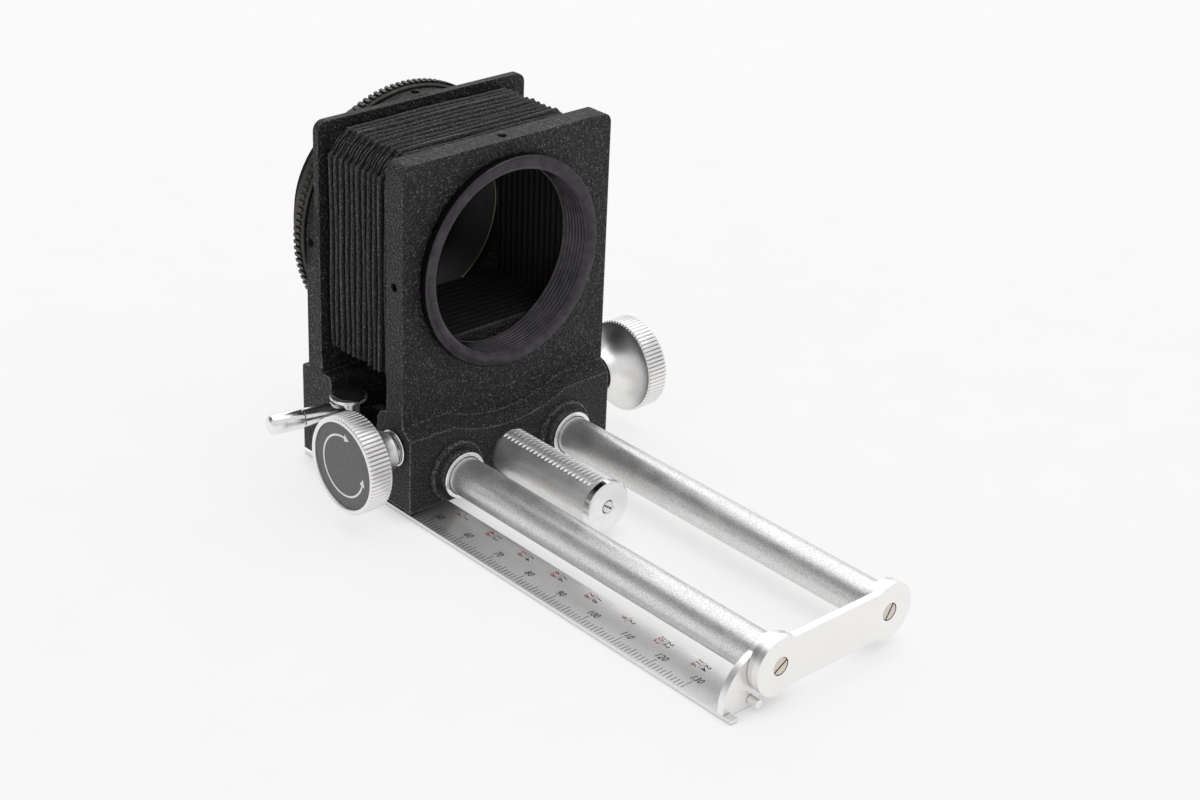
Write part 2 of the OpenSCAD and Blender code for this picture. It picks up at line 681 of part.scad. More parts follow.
// Washers between the end plate and the rails
module rail_washers() color(satin) for (s = [-1, 1]) difference() {
    along_y(washer_r, y_washer, y_bracket, s * rail_x, z_rail);
    along_y(end_shank_r + snug, y_washer - over, y_bracket + over, s * rail_x, z_rail);
}

// Sector bracket round the left rail's screw, inner side as shares of the drop to the resting plane
bracket_shares = [[-0.3, -1], [-0.16, -1], [0.3, -0.62], [0.6, 0], [-0.3, 0]];
module scale_bracket() color(satin) difference() {
    union() {
        along_y(bracket_r, y_bracket, y_strip, -rail_x, z_rail);
        intersection() {
            along_y(arc_r, y_bracket, y_strip, -rail_x - arc_out, z_rail - arc_drop);
            box(-strip_out, -rail_x - arc_out, y_bracket - over, y_strip + over, z_rest, z_rail + bracket_r);
        }
        prism_y(y_bracket, y_strip) translate([-rail_x, z_rail]) polygon(bracket_shares * rest_drop);
        along_y(stub_r, y_bracket - stub_len, y_strip, -rail_x - stub_out, z_rail - stub_drop);
    }
    along_y(end_shank_r + snug, y_bracket - over, y_strip + over, -rail_x, z_rail);
    box(-strip_out - over, -strip_out + strip_t * 1.8 + snug, y_bracket - over, y_strip + over, z_rest - over,
        z_strip + snug);
}

// Scale strip under the left rail with a tongue through the bracket
module scale_plate() color(satin) difference() {
    union() {
        box(-strip_out, -strip_in, y_strip + snug, y_rear_heel + strip_tail, z_rest, z_strip);
        box(-strip_out, -strip_out + strip_t * 1.8, y_bracket - tongue_reach, y_strip + over, z_rest, z_strip);
    }
    translate([-pad_out + pad_len / 2, y_mid_foot, z_rest - over])
        cylinder(r1 = strip_screw_r + snug + strip_t + over, r2 = strip_screw_r + snug, h = strip_t + over);
    along_z(strip_screw_r + snug, z_rest - over, z_strip + over, -pad_out + pad_len / 2, y_mid_foot);
}

// Countersunk screw that holds the strip under the rear foot
module scale_rear_screw() color(chrome) translate([-pad_out + pad_len / 2, y_mid_foot, z_rest]) {
    cylinder(r = strip_screw_r, h = strip_screw_len);
    cylinder(r1 = strip_screw_r + strip_t, r2 = strip_screw_r, h = strip_t);
}

// Bolt that closes the clamp lug
module clamp_bolt() color(chrome) {
    along_z(bolt_r, z_base + bolt_head_t - snug, z_lever + cup_rise - cap_seat - end_gap, -bolt_x, y_bolt);
    along_z(bolt_head_r, z_base + snug, z_base + bolt_head_t, -bolt_x, y_bolt);
}

// Clamp lever with its cup, rod and grooved grip
module lock_lever() color(chrome) translate([-bolt_x, y_bolt, z_lever]) difference() {
    union() {
        translate([0, 0, cup_rise - cup_h]) cylinder(r = cup_r, h = cup_h);
        translate([0, 0, z_lug - z_lever + snug]) cylinder(r = stem_r, h = z_lever - z_lug + cup_rise - cup_h / 2);
        rotate([0, 0, -lever_turn]) {
            along_x(lever_r, -lever_len + grip_len, 0, 0, 0);
            along_x(lever_r * 0.8, -lever_len + grip_len - over, -lever_len + grip_len + over, 0, 0);
            along_x(grip_r, -lever_len + grip_r / 2, -lever_len + grip_len, 0, 0);
            translate([-lever_len, 0, 0]) rotate([0, 90, 0]) cylinder(r1 = grip_r / 2, r2 = grip_r, h = grip_r / 2);
        }
    }
    translate([0, 0, -lever_rise]) cylinder(r = bolt_r + snug, h = lever_rise + cup_rise);
    translate([0, 0, cup_rise - cap_seat]) cylinder(r = cap_r + snug, h = cap_seat + over);
}

// Outline of the cap's dome as shares of its radius and height
dome_shares = [[1, 0.2], [0.92, 0.45], [0.75, 0.7], [0.5, 0.88], [0.25, 0.97], [0, 1]];

// Slightly domed cap in the lever's cup
module lever_cap() color(gloss_black) translate([-bolt_x, y_bolt, z_lever + cup_rise - cap_seat + snug])
    rotate_extrude() polygon(concat([[0, 0], [cap_r, 0]],
        [for (f = dome_shares) [cap_r * f[0], cap_seat + cap_h * f[1]]]));

// Toothed rod between the rails
module rack_rod() color(satin) difference() {
    along_y(rod_r, y_rod, rod_tail, 0, z_rod);
    prism_x(-rod_r, rod_r) for (i = [0 : rack_gaps - 1]) {
        y = y_shaft - (rack_gaps - gaps_behind - i) * rack_pitch;
        half = rack_pitch / 4 + tooth_m * thin_share / 2;
        top = tooth_m * tip_share + over;
        low = tooth_m * root_share;
        polygon([
            [y - half - top * tan(pressure), z_pitch + top],
            [y - half + low * tan(pressure), z_pitch - low],
            [y + half - low * tan(pressure), z_pitch - low],
            [y + half + top * tan(pressure), z_pitch + top]]);
    }
    along_y(disc_shank_r + snug, y_rod - over, y_disc + disc_head_t + disc_shank_len + over, 0, z_rod);
}

// Stop disc on the rod's front end
module rod_end_disc() color(satin) difference() {
    along_y(disc_r, y_disc, y_rod, 0, z_rod);
    along_y(disc_shank_r + snug, y_disc - over, y_rod + over, 0, z_rod);
    along_y(disc_head_r + snug, y_disc - over, y_disc + disc_head_t, 0, z_rod);
}
module rod_end_screw() color(satin)
    slotted_screw(0, y_disc, z_rod, disc_head_r, disc_head_t, disc_shank_r, disc_shank_len, disc_slot_turn);

// Collar that closes the shaft hole on one side
module shaft_collar(s, r, tint) color(tint) difference() {
    union() {
        along_x(r, s > 0 ? front_w : -front_w - collar_len, s > 0 ? front_w + collar_len : -front_w, y_shaft, z_shaft);
        along_x(spigot_r, s > 0 ? front_w - spigot_len + end_gap : -front_w - over,
            s > 0 ? front_w + over : -front_w + spigot_len - end_gap, y_shaft, z_shaft);
    }
    along_x(shaft_r + run, s > 0 ? front_w - spigot_len - over : -front_w - collar_len - over,
        s > 0 ? front_w + collar_len + over : -front_w + spigot_len + over, y_shaft, z_shaft);
}
module left_shaft_collar() shaft_collar(-1, left_collar_r, chrome);
module right_shaft_collar() shaft_collar(1, right_collar_r, blackened);

// Cross shaft through the front foot
module focus_shaft() color(satin) along_x(shaft_r, -knob_x - knob_t / 2, knob_x + knob_t / 2, y_shaft, z_shaft);

// Half angle of a pinion tooth at a radius
function involute(a) = tan(a) - a * PI / 180;
function half_angle(r) = 90 / pinion_teeth - thin_share * 90 / pinion_teeth / PI
    + (involute(pressure) - involute(acos(min(1, base_r / r)))) * 180 / PI;
function flank(i, s) = let(r = base_r + (tip_r - base_r) * i / flank_steps, a = s * half_angle(r)) [r * sin(a), -r * cos(a)];

// One pinion tooth outline, from its root on one side to its root on the other
function tooth() = concat(
    [[-root_r * sin(half_angle(base_r)), -root_r * cos(half_angle(base_r))]],
    [for (i = [0 : flank_steps]) flank(i, -1)],
    [for (i = [flank_steps : -1 : 0]) flank(i, 1)],
    [[root_r * sin(half_angle(base_r)), -root_r * cos(half_angle(base_r))]]);

// Pinion that runs in the rod's teeth
module pinion() color(satin) translate([0, y_shaft, z_shaft]) difference() {
    prism_x(-pinion_len / 2, pinion_len / 2) {
        circle(root_r);
        for (i = [0 : pinion_teeth - 1]) rotate(i * 360 / pinion_teeth) polygon(concat(tooth(), [[0, 0]]));
    }
    along_x(shaft_r + snug, -pinion_len, pinion_len, 0, 0);
}

// Flare of the knob's back, as shares of the way from the hub's end and from the hub's radius to the rim
flare_shares = [[0, 0], [0, 0.12], [0.05, 0.32], [0.17, 0.53], [0.37, 0.72], [0.66, 0.88], [1, 1]];

// Knurled knob, back of the rim at zero, face upward
module knob_shape() difference() {
    union() {
        linear_extrude(knob_t) knurl(knob_r, knob_ridges, ridge_d, tooth_share);
        rotate_extrude() polygon(concat(
            [[0, knob_t / 2], [0, -hub_len]],
            [for (f = flare_shares) [hub_r + (knob_r - lip_w - hub_r) * f[0], -hub_len + hub_len * f[1]]],
            [[knob_r - lip_w, knob_t / 2]]));
    }
    translate([0, 0, -hub_len - over]) cylinder(r = shaft_r + snug, h = hub_len + over + knob_t / 2 + end_gap);
    translate([0, 0, knob_t - plate_sink - plate_t]) cylinder(r = plate_r + snug, h = knob_t);
    translate([0, 0, -hub_len / 2]) rotate([-90, 0, 0]) cylinder(r = knob_grub_r + snug, h = hub_r + over);
}
module left_knob() color(chrome) translate([-knob_x, y_shaft, z_shaft]) rotate([0, -90, 0]) knob_shape();
module right_knob() color(chrome) translate([knob_x, y_shaft, z_shaft]) rotate([0, 90, 0]) knob_shape();
module left_knob_plate() color(plate_grey)
    along_x(plate_r, -knob_out + plate_sink, -knob_out + plate_sink + plate_t, y_shaft, z_shaft);
module right_knob_plate() color(plate_grey)
    along_x(plate_r, knob_out - plate_sink - plate_t, knob_out - plate_sink, y_shaft, z_shaft);

// Grub screws that hold the knobs on the shaft
module knob_grub_screws() color(blackened) for (s = [-1, 1])
    along_y(knob_grub_r, y_shaft + shaft_r + snug, y_shaft + shaft_r + snug + knob_grub_len,
        s * (knob_x - hub_len / 2), z_shaft);

rear_standard();
rear_mount_flange();
rear_mount_grub_screws();
camera_mount_ring();
camera_mount_thread();
rear_bellows_frame();
left_rail();
right_rail();
rail_set_screws();
end_plate();
end_plate_screws();
scale_bracket();
rail_washers();
scale_plate();
scale_rear_screw();
clamp_bolt();
lock_lever();
lever_cap();
bellows();
rack_rod();
rod_end_disc();
rod_end_screw();
front_standard();
lens_mount_ring();
lens_mount_grub_screws();
left_rail_bush();
right_rail_bush();
front_bellows_frame();
left_shaft_collar();
right_shaft_collar();
focus_shaft();
pinion();
left_knob();
right_knob();
left_knob_plate();
right_knob_plate();
knob_grub_screws();
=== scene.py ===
import math
import random
import bmesh
import bpy
from mathutils import Matrix, Vector


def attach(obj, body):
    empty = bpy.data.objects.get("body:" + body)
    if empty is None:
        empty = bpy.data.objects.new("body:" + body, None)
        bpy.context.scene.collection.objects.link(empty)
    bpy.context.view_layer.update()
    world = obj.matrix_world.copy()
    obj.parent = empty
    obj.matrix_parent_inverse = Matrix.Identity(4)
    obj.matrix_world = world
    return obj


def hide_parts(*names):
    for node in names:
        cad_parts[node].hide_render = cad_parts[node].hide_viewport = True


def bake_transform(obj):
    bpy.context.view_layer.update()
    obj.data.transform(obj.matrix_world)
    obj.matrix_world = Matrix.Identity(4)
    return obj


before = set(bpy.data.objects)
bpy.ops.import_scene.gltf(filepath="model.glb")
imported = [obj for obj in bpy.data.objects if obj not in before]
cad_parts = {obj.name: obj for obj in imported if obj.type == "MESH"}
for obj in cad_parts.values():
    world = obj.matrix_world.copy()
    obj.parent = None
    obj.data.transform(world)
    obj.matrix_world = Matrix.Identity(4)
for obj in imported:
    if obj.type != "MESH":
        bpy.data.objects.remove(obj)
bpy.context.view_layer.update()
random.seed(11)
MM = 0.001
TURN = 2 * math.pi
SIDES = ((-1, "left"), (1, "right"))

# Driving sizes and places as in the CAD source, in millimetres but for counts, shares and _DEG
AXIS_HEIGHT = 45.0
REST_DROP = 8.8
STRIP_T = 1.0
STRIP_OUT = 27.4
RAIL_X = 15.5
RAIL_R = 4.4
RAIL_BACK = -8.8
END_REACH = 145.0
SHEET_T = 1.5
ROD_R = 5.3
ROD_SINK = 0.3
ROD_TAIL = 21.0
DISC_REACH = 79.2
DISC_T = 2.0
TOOTH_MODULE = 0.4
PINION_TEETH = 14
TIP_SHARE = 0.8
FRONT_W = 28.4
BOARD_REACH = 44.5
BOARD_T = 5.4
SHAFT_BACK = 3.0
REAR_REACH = 15.6
BELLOWS_FRAME_T = 0.7
BOLT_X = -27.0
BOLT_Y = -23.5
LUG_RISE = 5.0
LEVER_RISE = 9.5
LEVER_REST_DEG = -10
RUN = 0.05

# Places worked out from them
RAIL_Z = -AXIS_HEIGHT
ROD_Z = RAIL_Z - ROD_SINK
DISC_Y = -DISC_REACH
ROD_FRONT = DISC_Y + DISC_T
FLOOR_Z = RAIL_Z - REST_DROP
STRIP_Z = FLOOR_Z + STRIP_T
LEVER_Z = RAIL_Z + LEVER_RISE
END_Y = -END_REACH
BOARD_Y = -BOARD_REACH
BOARD_BACK = BOARD_Y + BOARD_T
REAR_Y = -REAR_REACH
SHAFT_Y = BOARD_Y + SHAFT_BACK
SHAFT_Z = ROD_Z + ROD_R + TOOTH_MODULE * (PINION_TEETH / 2 - TIP_SHARE)
LENS_AXIS = (0, 0)
ROD_AXIS = (0, ROD_Z)
SHAFT_AXIS = (SHAFT_Y, SHAFT_Z)
BOLT_AXIS = (BOLT_X, BOLT_Y)

# Material nodes


def new_material(name, metal=0.0, **sockets):
    """A material whose shader inputs are set by name."""
    m = bpy.data.materials.new(name)
    m.use_nodes = True
    shader = m.node_tree.nodes["Principled BSDF"]
    shader.inputs["Metallic"].default_value = metal
    for key, value in sockets.items():
        shader.inputs[key.replace("_", " ")].default_value = value
    return m


def coords(m, stretch=(1, 1, 1)):
    """Object coordinates, scaled along each axis."""
    t = m.node_tree
    place = t.nodes.new("ShaderNodeTexCoord")
    mapping = t.nodes.new("ShaderNodeMapping")
    mapping.inputs["Scale"].default_value = stretch
    t.links.new(place.outputs["Object"], mapping.inputs["Vector"])
    return mapping.outputs["Vector"]


def noise(m, vector, size_mm, detail=3.0, rough=0.55):
    """Cloudy noise whose patches are about size_mm wide."""
    n = m.node_tree.nodes.new("ShaderNodeTexNoise")
    n.inputs["Scale"].default_value = 1.0 / (size_mm * MM)
    n.inputs["Detail"].default_value = detail
    n.inputs["Roughness"].default_value = rough
    m.node_tree.links.new(vector, n.inputs["Vector"])
    return n.outputs["Fac"]


def cells(m, vector, size_mm):
    """Soft round cells about size_mm wide."""
    n = m.node_tree.nodes.new("ShaderNodeTexVoronoi")
    n.feature = "SMOOTH_F1"
    n.inputs["Scale"].default_value = 1.0 / (size_mm * MM)
    m.node_tree.links.new(vector, n.inputs["Vector"])
    return n.outputs["Distance"]


def ramp(m, fac, stops):
    """A colour ramp through (position, colour) stops."""
    r = m.node_tree.nodes.new("ShaderNodeValToRGB")
    elements = r.color_ramp.elements
    while len(elements) < len(stops):
        elements.new(0.5)
    for element, (position, colour) in zip(elements, stops):
        element.position = position
        element.color = (*colour, 1)
    m.node_tree.links.new(fac, r.inputs["Fac"])
    return r.outputs["Color"]


def span(m, fac, lo, hi, start=0.3, end=0.7):
    """Maps the range from start to end onto lo to hi."""
    r = m.node_tree.nodes.new("ShaderNodeMapRange")
    for key, value in (("From Min", start), ("From Max", end), ("To Min", lo), ("To Max", hi)):
        r.inputs[key].default_value = value
    m.node_tree.links.new(fac, r.inputs["Value"])
    return r.outputs["Result"]


def product(m, first, second):
    """One value times another."""
    n = m.node_tree.nodes.new("ShaderNodeMath")
    n.operation = "MULTIPLY"
    m.node_tree.links.new(first, n.inputs[0])
    m.node_tree.links.new(second, n.inputs[1])
    return n.outputs["Value"]


def plug(m, out, socket):
    """Links a node output to a shader input."""
    m.node_tree.links.new(out, m.node_tree.nodes["Principled BSDF"].inputs[socket])


def bump(m, height, depth_mm, strength=1.0, below=None):
    """A bump of the given depth, on top of the bump below it."""
    b = m.node_tree.nodes.new("ShaderNodeBump")
    b.inputs["Strength"].default_value = strength
    b.inputs["Distance"].default_value = depth_mm * MM
    m.node_tree.links.new(height, b.inputs["Height"])
    if below is not None:
        m.node_tree.links.new(below, b.inputs["Normal"])
    plug(m, b.outputs["Normal"], "Normal")
    return b.outputs["Normal"]


def grey(v, warm=0.0):
    """A grey, tinted a little toward yellow by warm."""
    return (v * (1 + warm), v, v * (1 - warm))


def mix_over(m, blend="MIX"):
    """A mix node laid over the present base colour."""
    shade = m.node_tree.nodes["Principled BSDF"].inputs["Base Color"]
    mix = m.node_tree.nodes.new("ShaderNodeMix")
    mix.data_type = "RGBA"
    mix.blend_type = blend
    m.node_tree.links.new(shade.links[0].from_socket, mix.inputs["A"])
    m.node_tree.links.new(mix.outputs["Result"], shade)
    return mix


def openness(m, reach_mm):
    """How open a point lies to what is within reach, from 0 in a corner to 1."""
    ao = m.node_tree.nodes.new("ShaderNodeAmbientOcclusion")
    ao.samples = 8
    ao.inputs["Distance"].default_value = reach_mm * MM
    return ao.outputs["AO"]


def grime(m, reach_mm, low):
    """Darkens the base colour in tight corners: painted shade."""
    mix = mix_over(m, "MULTIPLY")
    mix.inputs["Factor"].default_value = 1.0
    # The darkening in corners, creases and slots is painted shade.
    corner_shade = ramp(m, openness(m, reach_mm), [(0.3, grey(low)), (0.8, grey(1.0))])
    m.node_tree.links.new(corner_shade, mix.inputs["B"])
    return m


def worn_edges(m, grain, radius_mm, tone, board_share):
    """Lightens the base colour along edges, partly as wear and partly as a painted edge highlight, broken
    up by the grain, and less so on the boards.
    """
    t = m.node_tree
    soft = t.nodes.new("ShaderNodeBevel")
    soft.samples = 6
    soft.inputs["Radius"].default_value = radius_mm * MM
    geometry = t.nodes.new("ShaderNodeNewGeometry")
    dot = t.nodes.new("ShaderNodeVectorMath")
    dot.operation = "DOT_PRODUCT"
    t.links.new(soft.outputs["Normal"], dot.inputs[0])
    t.links.new(geometry.outputs["Normal"], dot.inputs[1])
    edge = span(m, dot.outputs["Value"], 1.0, 0.0, start=0.86, end=0.985)
    place = t.nodes.new("ShaderNodeSeparateXYZ")
    t.links.new(coords(m), place.inputs["Vector"])
    feet_top, boards_low = -27.5, -25.5
    foot = span(m, place.outputs["Z"], 1.0, board_share, start=feet_top * MM, end=boards_low * MM)
    patches = span(m, grain, 0.0, 1.0, start=0.42, end=0.6)
    # The lighter edges are partly wear and partly a painted highlight.
    mix = mix_over(m)
    t.links.new(product(m, product(m, edge, foot), patches), mix.inputs["Factor"])
    mix.inputs["B"].default_value = (*grey(tone), 1)


# Kinds of surface


def crackle():
    """Black crackle paint with light specks that are painted glints, painted shade in its corners and worn
    edges with a painted highlight.
    """
    m = new_material("black_crackle", Specular_IOR_Level=0.26)
    v = coords(m)
    grain = noise(m, v, size_mm=0.36, detail=2.0, rough=0.7)
    lump = cells(m, v, size_mm=0.62)
    # The lightest tones are specks that paint the glints of the paint's lumps.
    tones = [(0.4, grey(0.005)), (0.56, grey(0.014)), (0.64, grey(0.055)), (0.74, grey(0.26))]
    plug(m, ramp(m, grain, tones), "Base Color")
    plug(m, span(m, grain, 0.6, 0.3, start=0.35), "Roughness")
    lumps = bump(m, lump, depth_mm=0.3)
    bump(m, grain, depth_mm=0.24, below=lumps)
    grime(m, reach_mm=1.6, low=0.35)
    worn_edges(m, grain, radius_mm=0.7, tone=0.3, board_share=0.12)
    return m


def brushed(name, tone, rough, size, depth, stretch=(1, 1, 1), warm=0.01, worn=0.12, metal=1.0):
    """Satin metal with a fine grain and blotches of roughness."""
    m = new_material(name, metal=metal)
    line = noise(m, coords(m, stretch), size, detail=2.0, rough=0.6)
    blot = noise(m, coords(m), size_mm=6.0, detail=4.0)
    tones = [(0.36, grey(tone * (1 - worn), warm)), (0.6, grey(tone, warm))]
    plug(m, ramp(m, line, tones), "Base Color")
    plug(m, span(m, blot, rough * 0.82, rough * 1.2), "Roughness")
    bump(m, line, depth, strength=0.6)
    return m


def smooth_metal(name, tone, rough, warm=0.0, size=3.0):
    """Bright metal with faint stains."""
    m = new_material(name, metal=1.0)
    v = coords(m)
    tones = [(0.3, grey(tone * 0.93, warm)), (0.65, grey(tone, warm))]
    plug(m, ramp(m, noise(m, v, size, detail=4.0), tones), "Base Color")
    plug(m, span(m, noise(m, v, size_mm=1.1), rough * 0.7, rough * 1.4), "Roughness")
    bump(m, noise(m, v, size_mm=0.5, detail=2.0), depth_mm=0.0006, strength=0.5)
    return m


def enamel(name, low, high, rough, depth=0.01, size=0.6, **sockets):
    """Paint, ink or a black finish that varies between two colours."""
    m = new_material(name, **sockets)
    v = coords(m)
    plug(m, ramp(m, noise(m, v, size * 4), [(0.3, low), (0.7, high)]), "Base Color")
    plug(m, span(m, noise(m, v, size * 2), rough * 0.85, rough * 1.15), "Roughness")
    bump(m, noise(m, v, size, detail=2.0), depth, strength=0.6)
    return m


def cloth():
    """Black leatherette with light specks, and painted shade between the folds."""
    m = new_material("bellows_leatherette")
    v = coords(m)
    grain = noise(m, v, size_mm=0.4, rough=0.7)
    tones = [(0.38, grey(0.012)), (0.56, grey(0.038)), (0.7, grey(0.17))]
    plug(m, ramp(m, grain, tones), "Base Color")
    plug(m, span(m, grain, 0.6, 0.36), "Roughness")
    leather = bump(m, cells(m, v, size_mm=0.45), depth_mm=0.16, strength=0.9)
    bump(m, noise(m, v, size_mm=1.4), depth_mm=0.2, strength=0.6, below=leather)
    # The darkening between the folds is painted shade.
    grime(m, reach_mm=2.2, low=0.06)
    return m


# The materials: sizes and depths in millimetres
# Many materials below are darkened in their corners, creases and slots, and that darkening is painted
# shade.
CRACKLE = crackle()
CLOTH = cloth()
CLOTH_IN = enamel("bellows_lining", grey(0.006), grey(0.012), rough=0.7, depth=0.05, size=0.4,
                  Specular_IOR_Level=0.2)
RAIL_METAL = brushed("satin_rail", tone=0.84, rough=0.36, size=0.3, depth=0.03, worn=0.32, metal=0.85)
ROD_METAL = grime(brushed("satin_rod", tone=0.88, rough=0.4, size=0.3, depth=0.02, worn=0.2, metal=0.88),
                  reach_mm=0.9, low=0.15)
PLATE_METAL = grime(brushed("satin_plate", tone=0.92, rough=0.38, size=0.3, depth=0.006, worn=0.04),
                    reach_mm=0.5, low=0.3)
STRIP_METAL = grime(brushed("scale_metal", tone=0.88, rough=0.38, size=0.2, depth=0.004,
                            stretch=(1, 0.3, 1), warm=0.0, worn=0.14, metal=0.9),
                    reach_mm=0.8, low=0.5)
CHROME = grime(smooth_metal("bright_chrome", tone=0.9, rough=0.12), reach_mm=0.5, low=0.3)
KNOB_METAL = grime(brushed("knob_metal", tone=0.88, rough=0.36, size=0.5, depth=0.002, worn=0.05),
                   reach_mm=0.3, low=0.65)
RING_PLATE = grime(brushed("washer_metal", tone=0.8, rough=0.34, size=0.3, depth=0.012),
                   reach_mm=0.6, low=0.3)
LEVER_METAL = grime(smooth_metal("lever_chrome", tone=0.93, rough=0.3), reach_mm=0.4, low=0.4)
BRASS = grime(smooth_metal("tarnished_brass", tone=0.62, rough=0.26, warm=0.13, size=1.2),
              reach_mm=0.5, low=0.12)
THREAD_LINE = enamel("thread_end_line", (0.2, 0.175, 0.1), (0.28, 0.24, 0.14), rough=0.4,
                     depth=0.002, size=0.5, metal=0.6)
TUBE_BLACK = enamel("inner_tube_black", (0.007, 0.0062, 0.0072), (0.011, 0.0098, 0.0115), rough=0.5,
                    depth=0.0004, size=2.0, Specular_IOR_Level=0.07)
BLACK_METAL = enamel("black_anodised", grey(0.022), grey(0.04), rough=0.3, depth=0.004, metal=0.35)
RING_KNURL = grime(enamel("knurled_ring_black", (0.026, 0.0245, 0.022), (0.06, 0.056, 0.05), rough=0.34,
                          depth=0.006, size=0.4, metal=0.4), reach_mm=1.0, low=0.08)
RING_METAL = grime(enamel("lens_ring_black", (0.04, 0.037, 0.04), (0.066, 0.061, 0.067), rough=0.22,
                          depth=0.0005, size=0.5, metal=1.0), reach_mm=0.6, low=0.1)
KNOB_PLATE = enamel("knob_plate_grey", grey(0.085), grey(0.115), rough=0.42, depth=0.004, size=0.2)
GLOSS = enamel("gloss_black", grey(0.012), grey(0.02), rough=0.12, depth=0.002, size=1.0)
WHITE_PAINT = enamel("white_paint", grey(0.75), grey(0.85), rough=0.5)
INK = enamel("black_ink", grey(0.012), grey(0.03), rough=0.5)
RED_INK = enamel("red_ink", (0.32, 0.015, 0.02), (0.45, 0.03, 0.03), rough=0.5)

# Meshes, with every length in millimetres


def finish_mesh(name, verts, faces, mat, body, nodes=(), sharp=32, smooth=True):
    """One piece from points and faces, on its body, with the nodes that it stands in for."""
    me = bpy.data.meshes.new(name)
    me.from_pydata([[c * MM for c in v] for v in verts], [], faces)
    me.validate()
    bm = bmesh.new()
    bm.from_mesh(me)
    bmesh.ops.remove_doubles(bm, verts=bm.verts, dist=1e-7)
    bmesh.ops.recalc_face_normals(bm, faces=bm.faces)
    bm.to_mesh(me)
    bm.free()
    me.polygons.foreach_set("use_smooth", [smooth] * len(me.polygons))
    me.set_sharp_from_angle(angle=math.radians(sharp))
    me.materials.append(mat)
    ob = bpy.data.objects.new(name, me)
    bpy.context.scene.collection.objects.link(ob)
    if body:
        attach(ob, body)
    if nodes:
        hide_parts(*nodes)
    return ob


def band(first, second, count):
    """Quads between two closed rings of points, each given by its first index."""
    quads = []
    for j in range(count):
        k = (j + 1) % count
        quads.append((first + j, first + k, second + k, second + j))
    return quads


def skin(rows, count, start=0):
    """Quads over rows of points that are closed rings."""
    quads = []
    for i in range(rows - 1):
        quads += band(start + i * count, start + (i + 1) * count, count)
    return quads


def cut_corners(profile, c):
    """A closed (r, t) outline with every corner off the axis cut by c."""
    out = []
    for i, p in enumerate(profile):
        if p[0] < 1e-6 or c == 0:
            out.append(p)
            continue
        for q in (profile[i - 1], profile[(i + 1) % len(profile)]):
            length = math.hypot(q[0] - p[0], q[1] - p[1])
            k = min(c, length * 0.4) / length
            out.append((p[0] + (q[0] - p[0]) * k, p[1] + (q[1] - p[1]) * k, *p[2:]))
    return out


def stand(axis, centre, x, t, z):
    """A point that lies x, z off an axis and t along it, with the axis through the centre."""
    if axis == "Y":
        return (centre[0] + x, t, centre[1] + z)
    if axis == "X":
        return (t, centre[0] + x, centre[1] + z)
    return (centre[0] + x, centre[1] + z, t)


def turned(name, profile, axis, centre, mat, body, nodes=(), n=96, c=0.15, wave=None, sharp=32):
    """A solid turned about an axis from a closed (r, t[, wave share]) outline."""
    rings = cut_corners(profile, c)
    verts = []
    index = []
    for r, t, *shares in rings:
        if r < 1e-6:
            index.append([len(verts)] * n)
            verts.append((0, t, 0))
            continue
        index.append(list(range(len(verts), len(verts) + n)))
        for j in range(n):
            a = TURN * j / n
            near = r - (wave(j / n) * shares[0] if wave and shares else 0)
            verts.append((near * math.cos(a), t, near * math.sin(a)))
    faces = []
    for i in range(len(rings)):
        p, q = index[i], index[(i + 1) % len(rings)]
        for j in range(n):
            k = (j + 1) % n
            face = list(dict.fromkeys((p[j], p[k], q[k], q[j])))
            if len(face) > 2:
                faces.append(face)
    return finish_mesh(name, [stand(axis, centre, *v) for v in verts], faces, mat, body, nodes, sharp)


def tube(r0, r1, t0, t1):
    """The outline of a plain tube."""
    return [(r0, t0), (r1, t0), (r1, t1), (r0, t1)]


def bar(r, t0, t1):
    """The outline of a plain round bar."""
    return [(0, t0), (r, t0), (r, t1), (0, t1)]


# Castings and small parts kept from the CAD


def cad(node, mat, bevel):
    """Gives a CAD node its material and softens its edges."""
    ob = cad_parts[node]
    ob.data.materials.clear()
    ob.data.materials.append(mat)
    if bevel:
        edges = ob.modifiers.new("edges", "BEVEL")
        edges.width = bevel * MM
        edges.segments = 2
        edges.limit_method = "ANGLE"
        edges.angle_limit = math.radians(40)
        edges.harden_normals = True


CAST_EDGE = 0.3
PLATE_EDGE = 0.15
THIN_EDGE = 0.12
KNURL_EDGE = 0.08
KEPT = (
    (CRACKLE, CAST_EDGE, ("front_standard", "rear_standard")),
    (CRACKLE, 0, ("front_bellows_frame", "rear_bellows_frame")),
    (BLACK_METAL, 0, ("rear_mount_grub_screws", "lens_mount_grub_screws")),
    (BLACK_METAL, 0, ("rail_set_screws", "knob_grub_screws")),
    (RING_PLATE, PLATE_EDGE, ("rail_washers",)),
    (PLATE_METAL, PLATE_EDGE, ("end_plate",)),
    (PLATE_METAL, THIN_EDGE, ("scale_bracket",)),
    (STRIP_METAL, THIN_EDGE, ("scale_plate",)),
    (CHROME, 0, ("scale_rear_screw", "clamp_bolt")),
    (ROD_METAL, 0, ("pinion",)),
    (TUBE_BLACK, PLATE_EDGE, ("camera_mount_thread",)),
    (TUBE_BLACK, 0, ("rear_mount_flange",)),
    (RING_KNURL, KNURL_EDGE, ("camera_mount_ring",)),
    (KNOB_PLATE, 0, ("left_knob_plate", "right_knob_plate")),
)
for mat, bevel, nodes in KEPT:
    for node in nodes:
        cad(node, mat, bevel)

# Rails, with the end plate, a washer and on the left the bracket ahead of them
WASHER_Y = END_Y + SHEET_T
BRACKET_Y = WASHER_Y + SHEET_T
for (s, side), front in zip(SIDES, (BRACKET_Y + SHEET_T, BRACKET_Y)):
    turned(side + "_rail_bar", bar(RAIL_R, front, RAIL_BACK), "Y", (s * RAIL_X, RAIL_Z), RAIL_METAL, "base",
           [side + "_rail"])

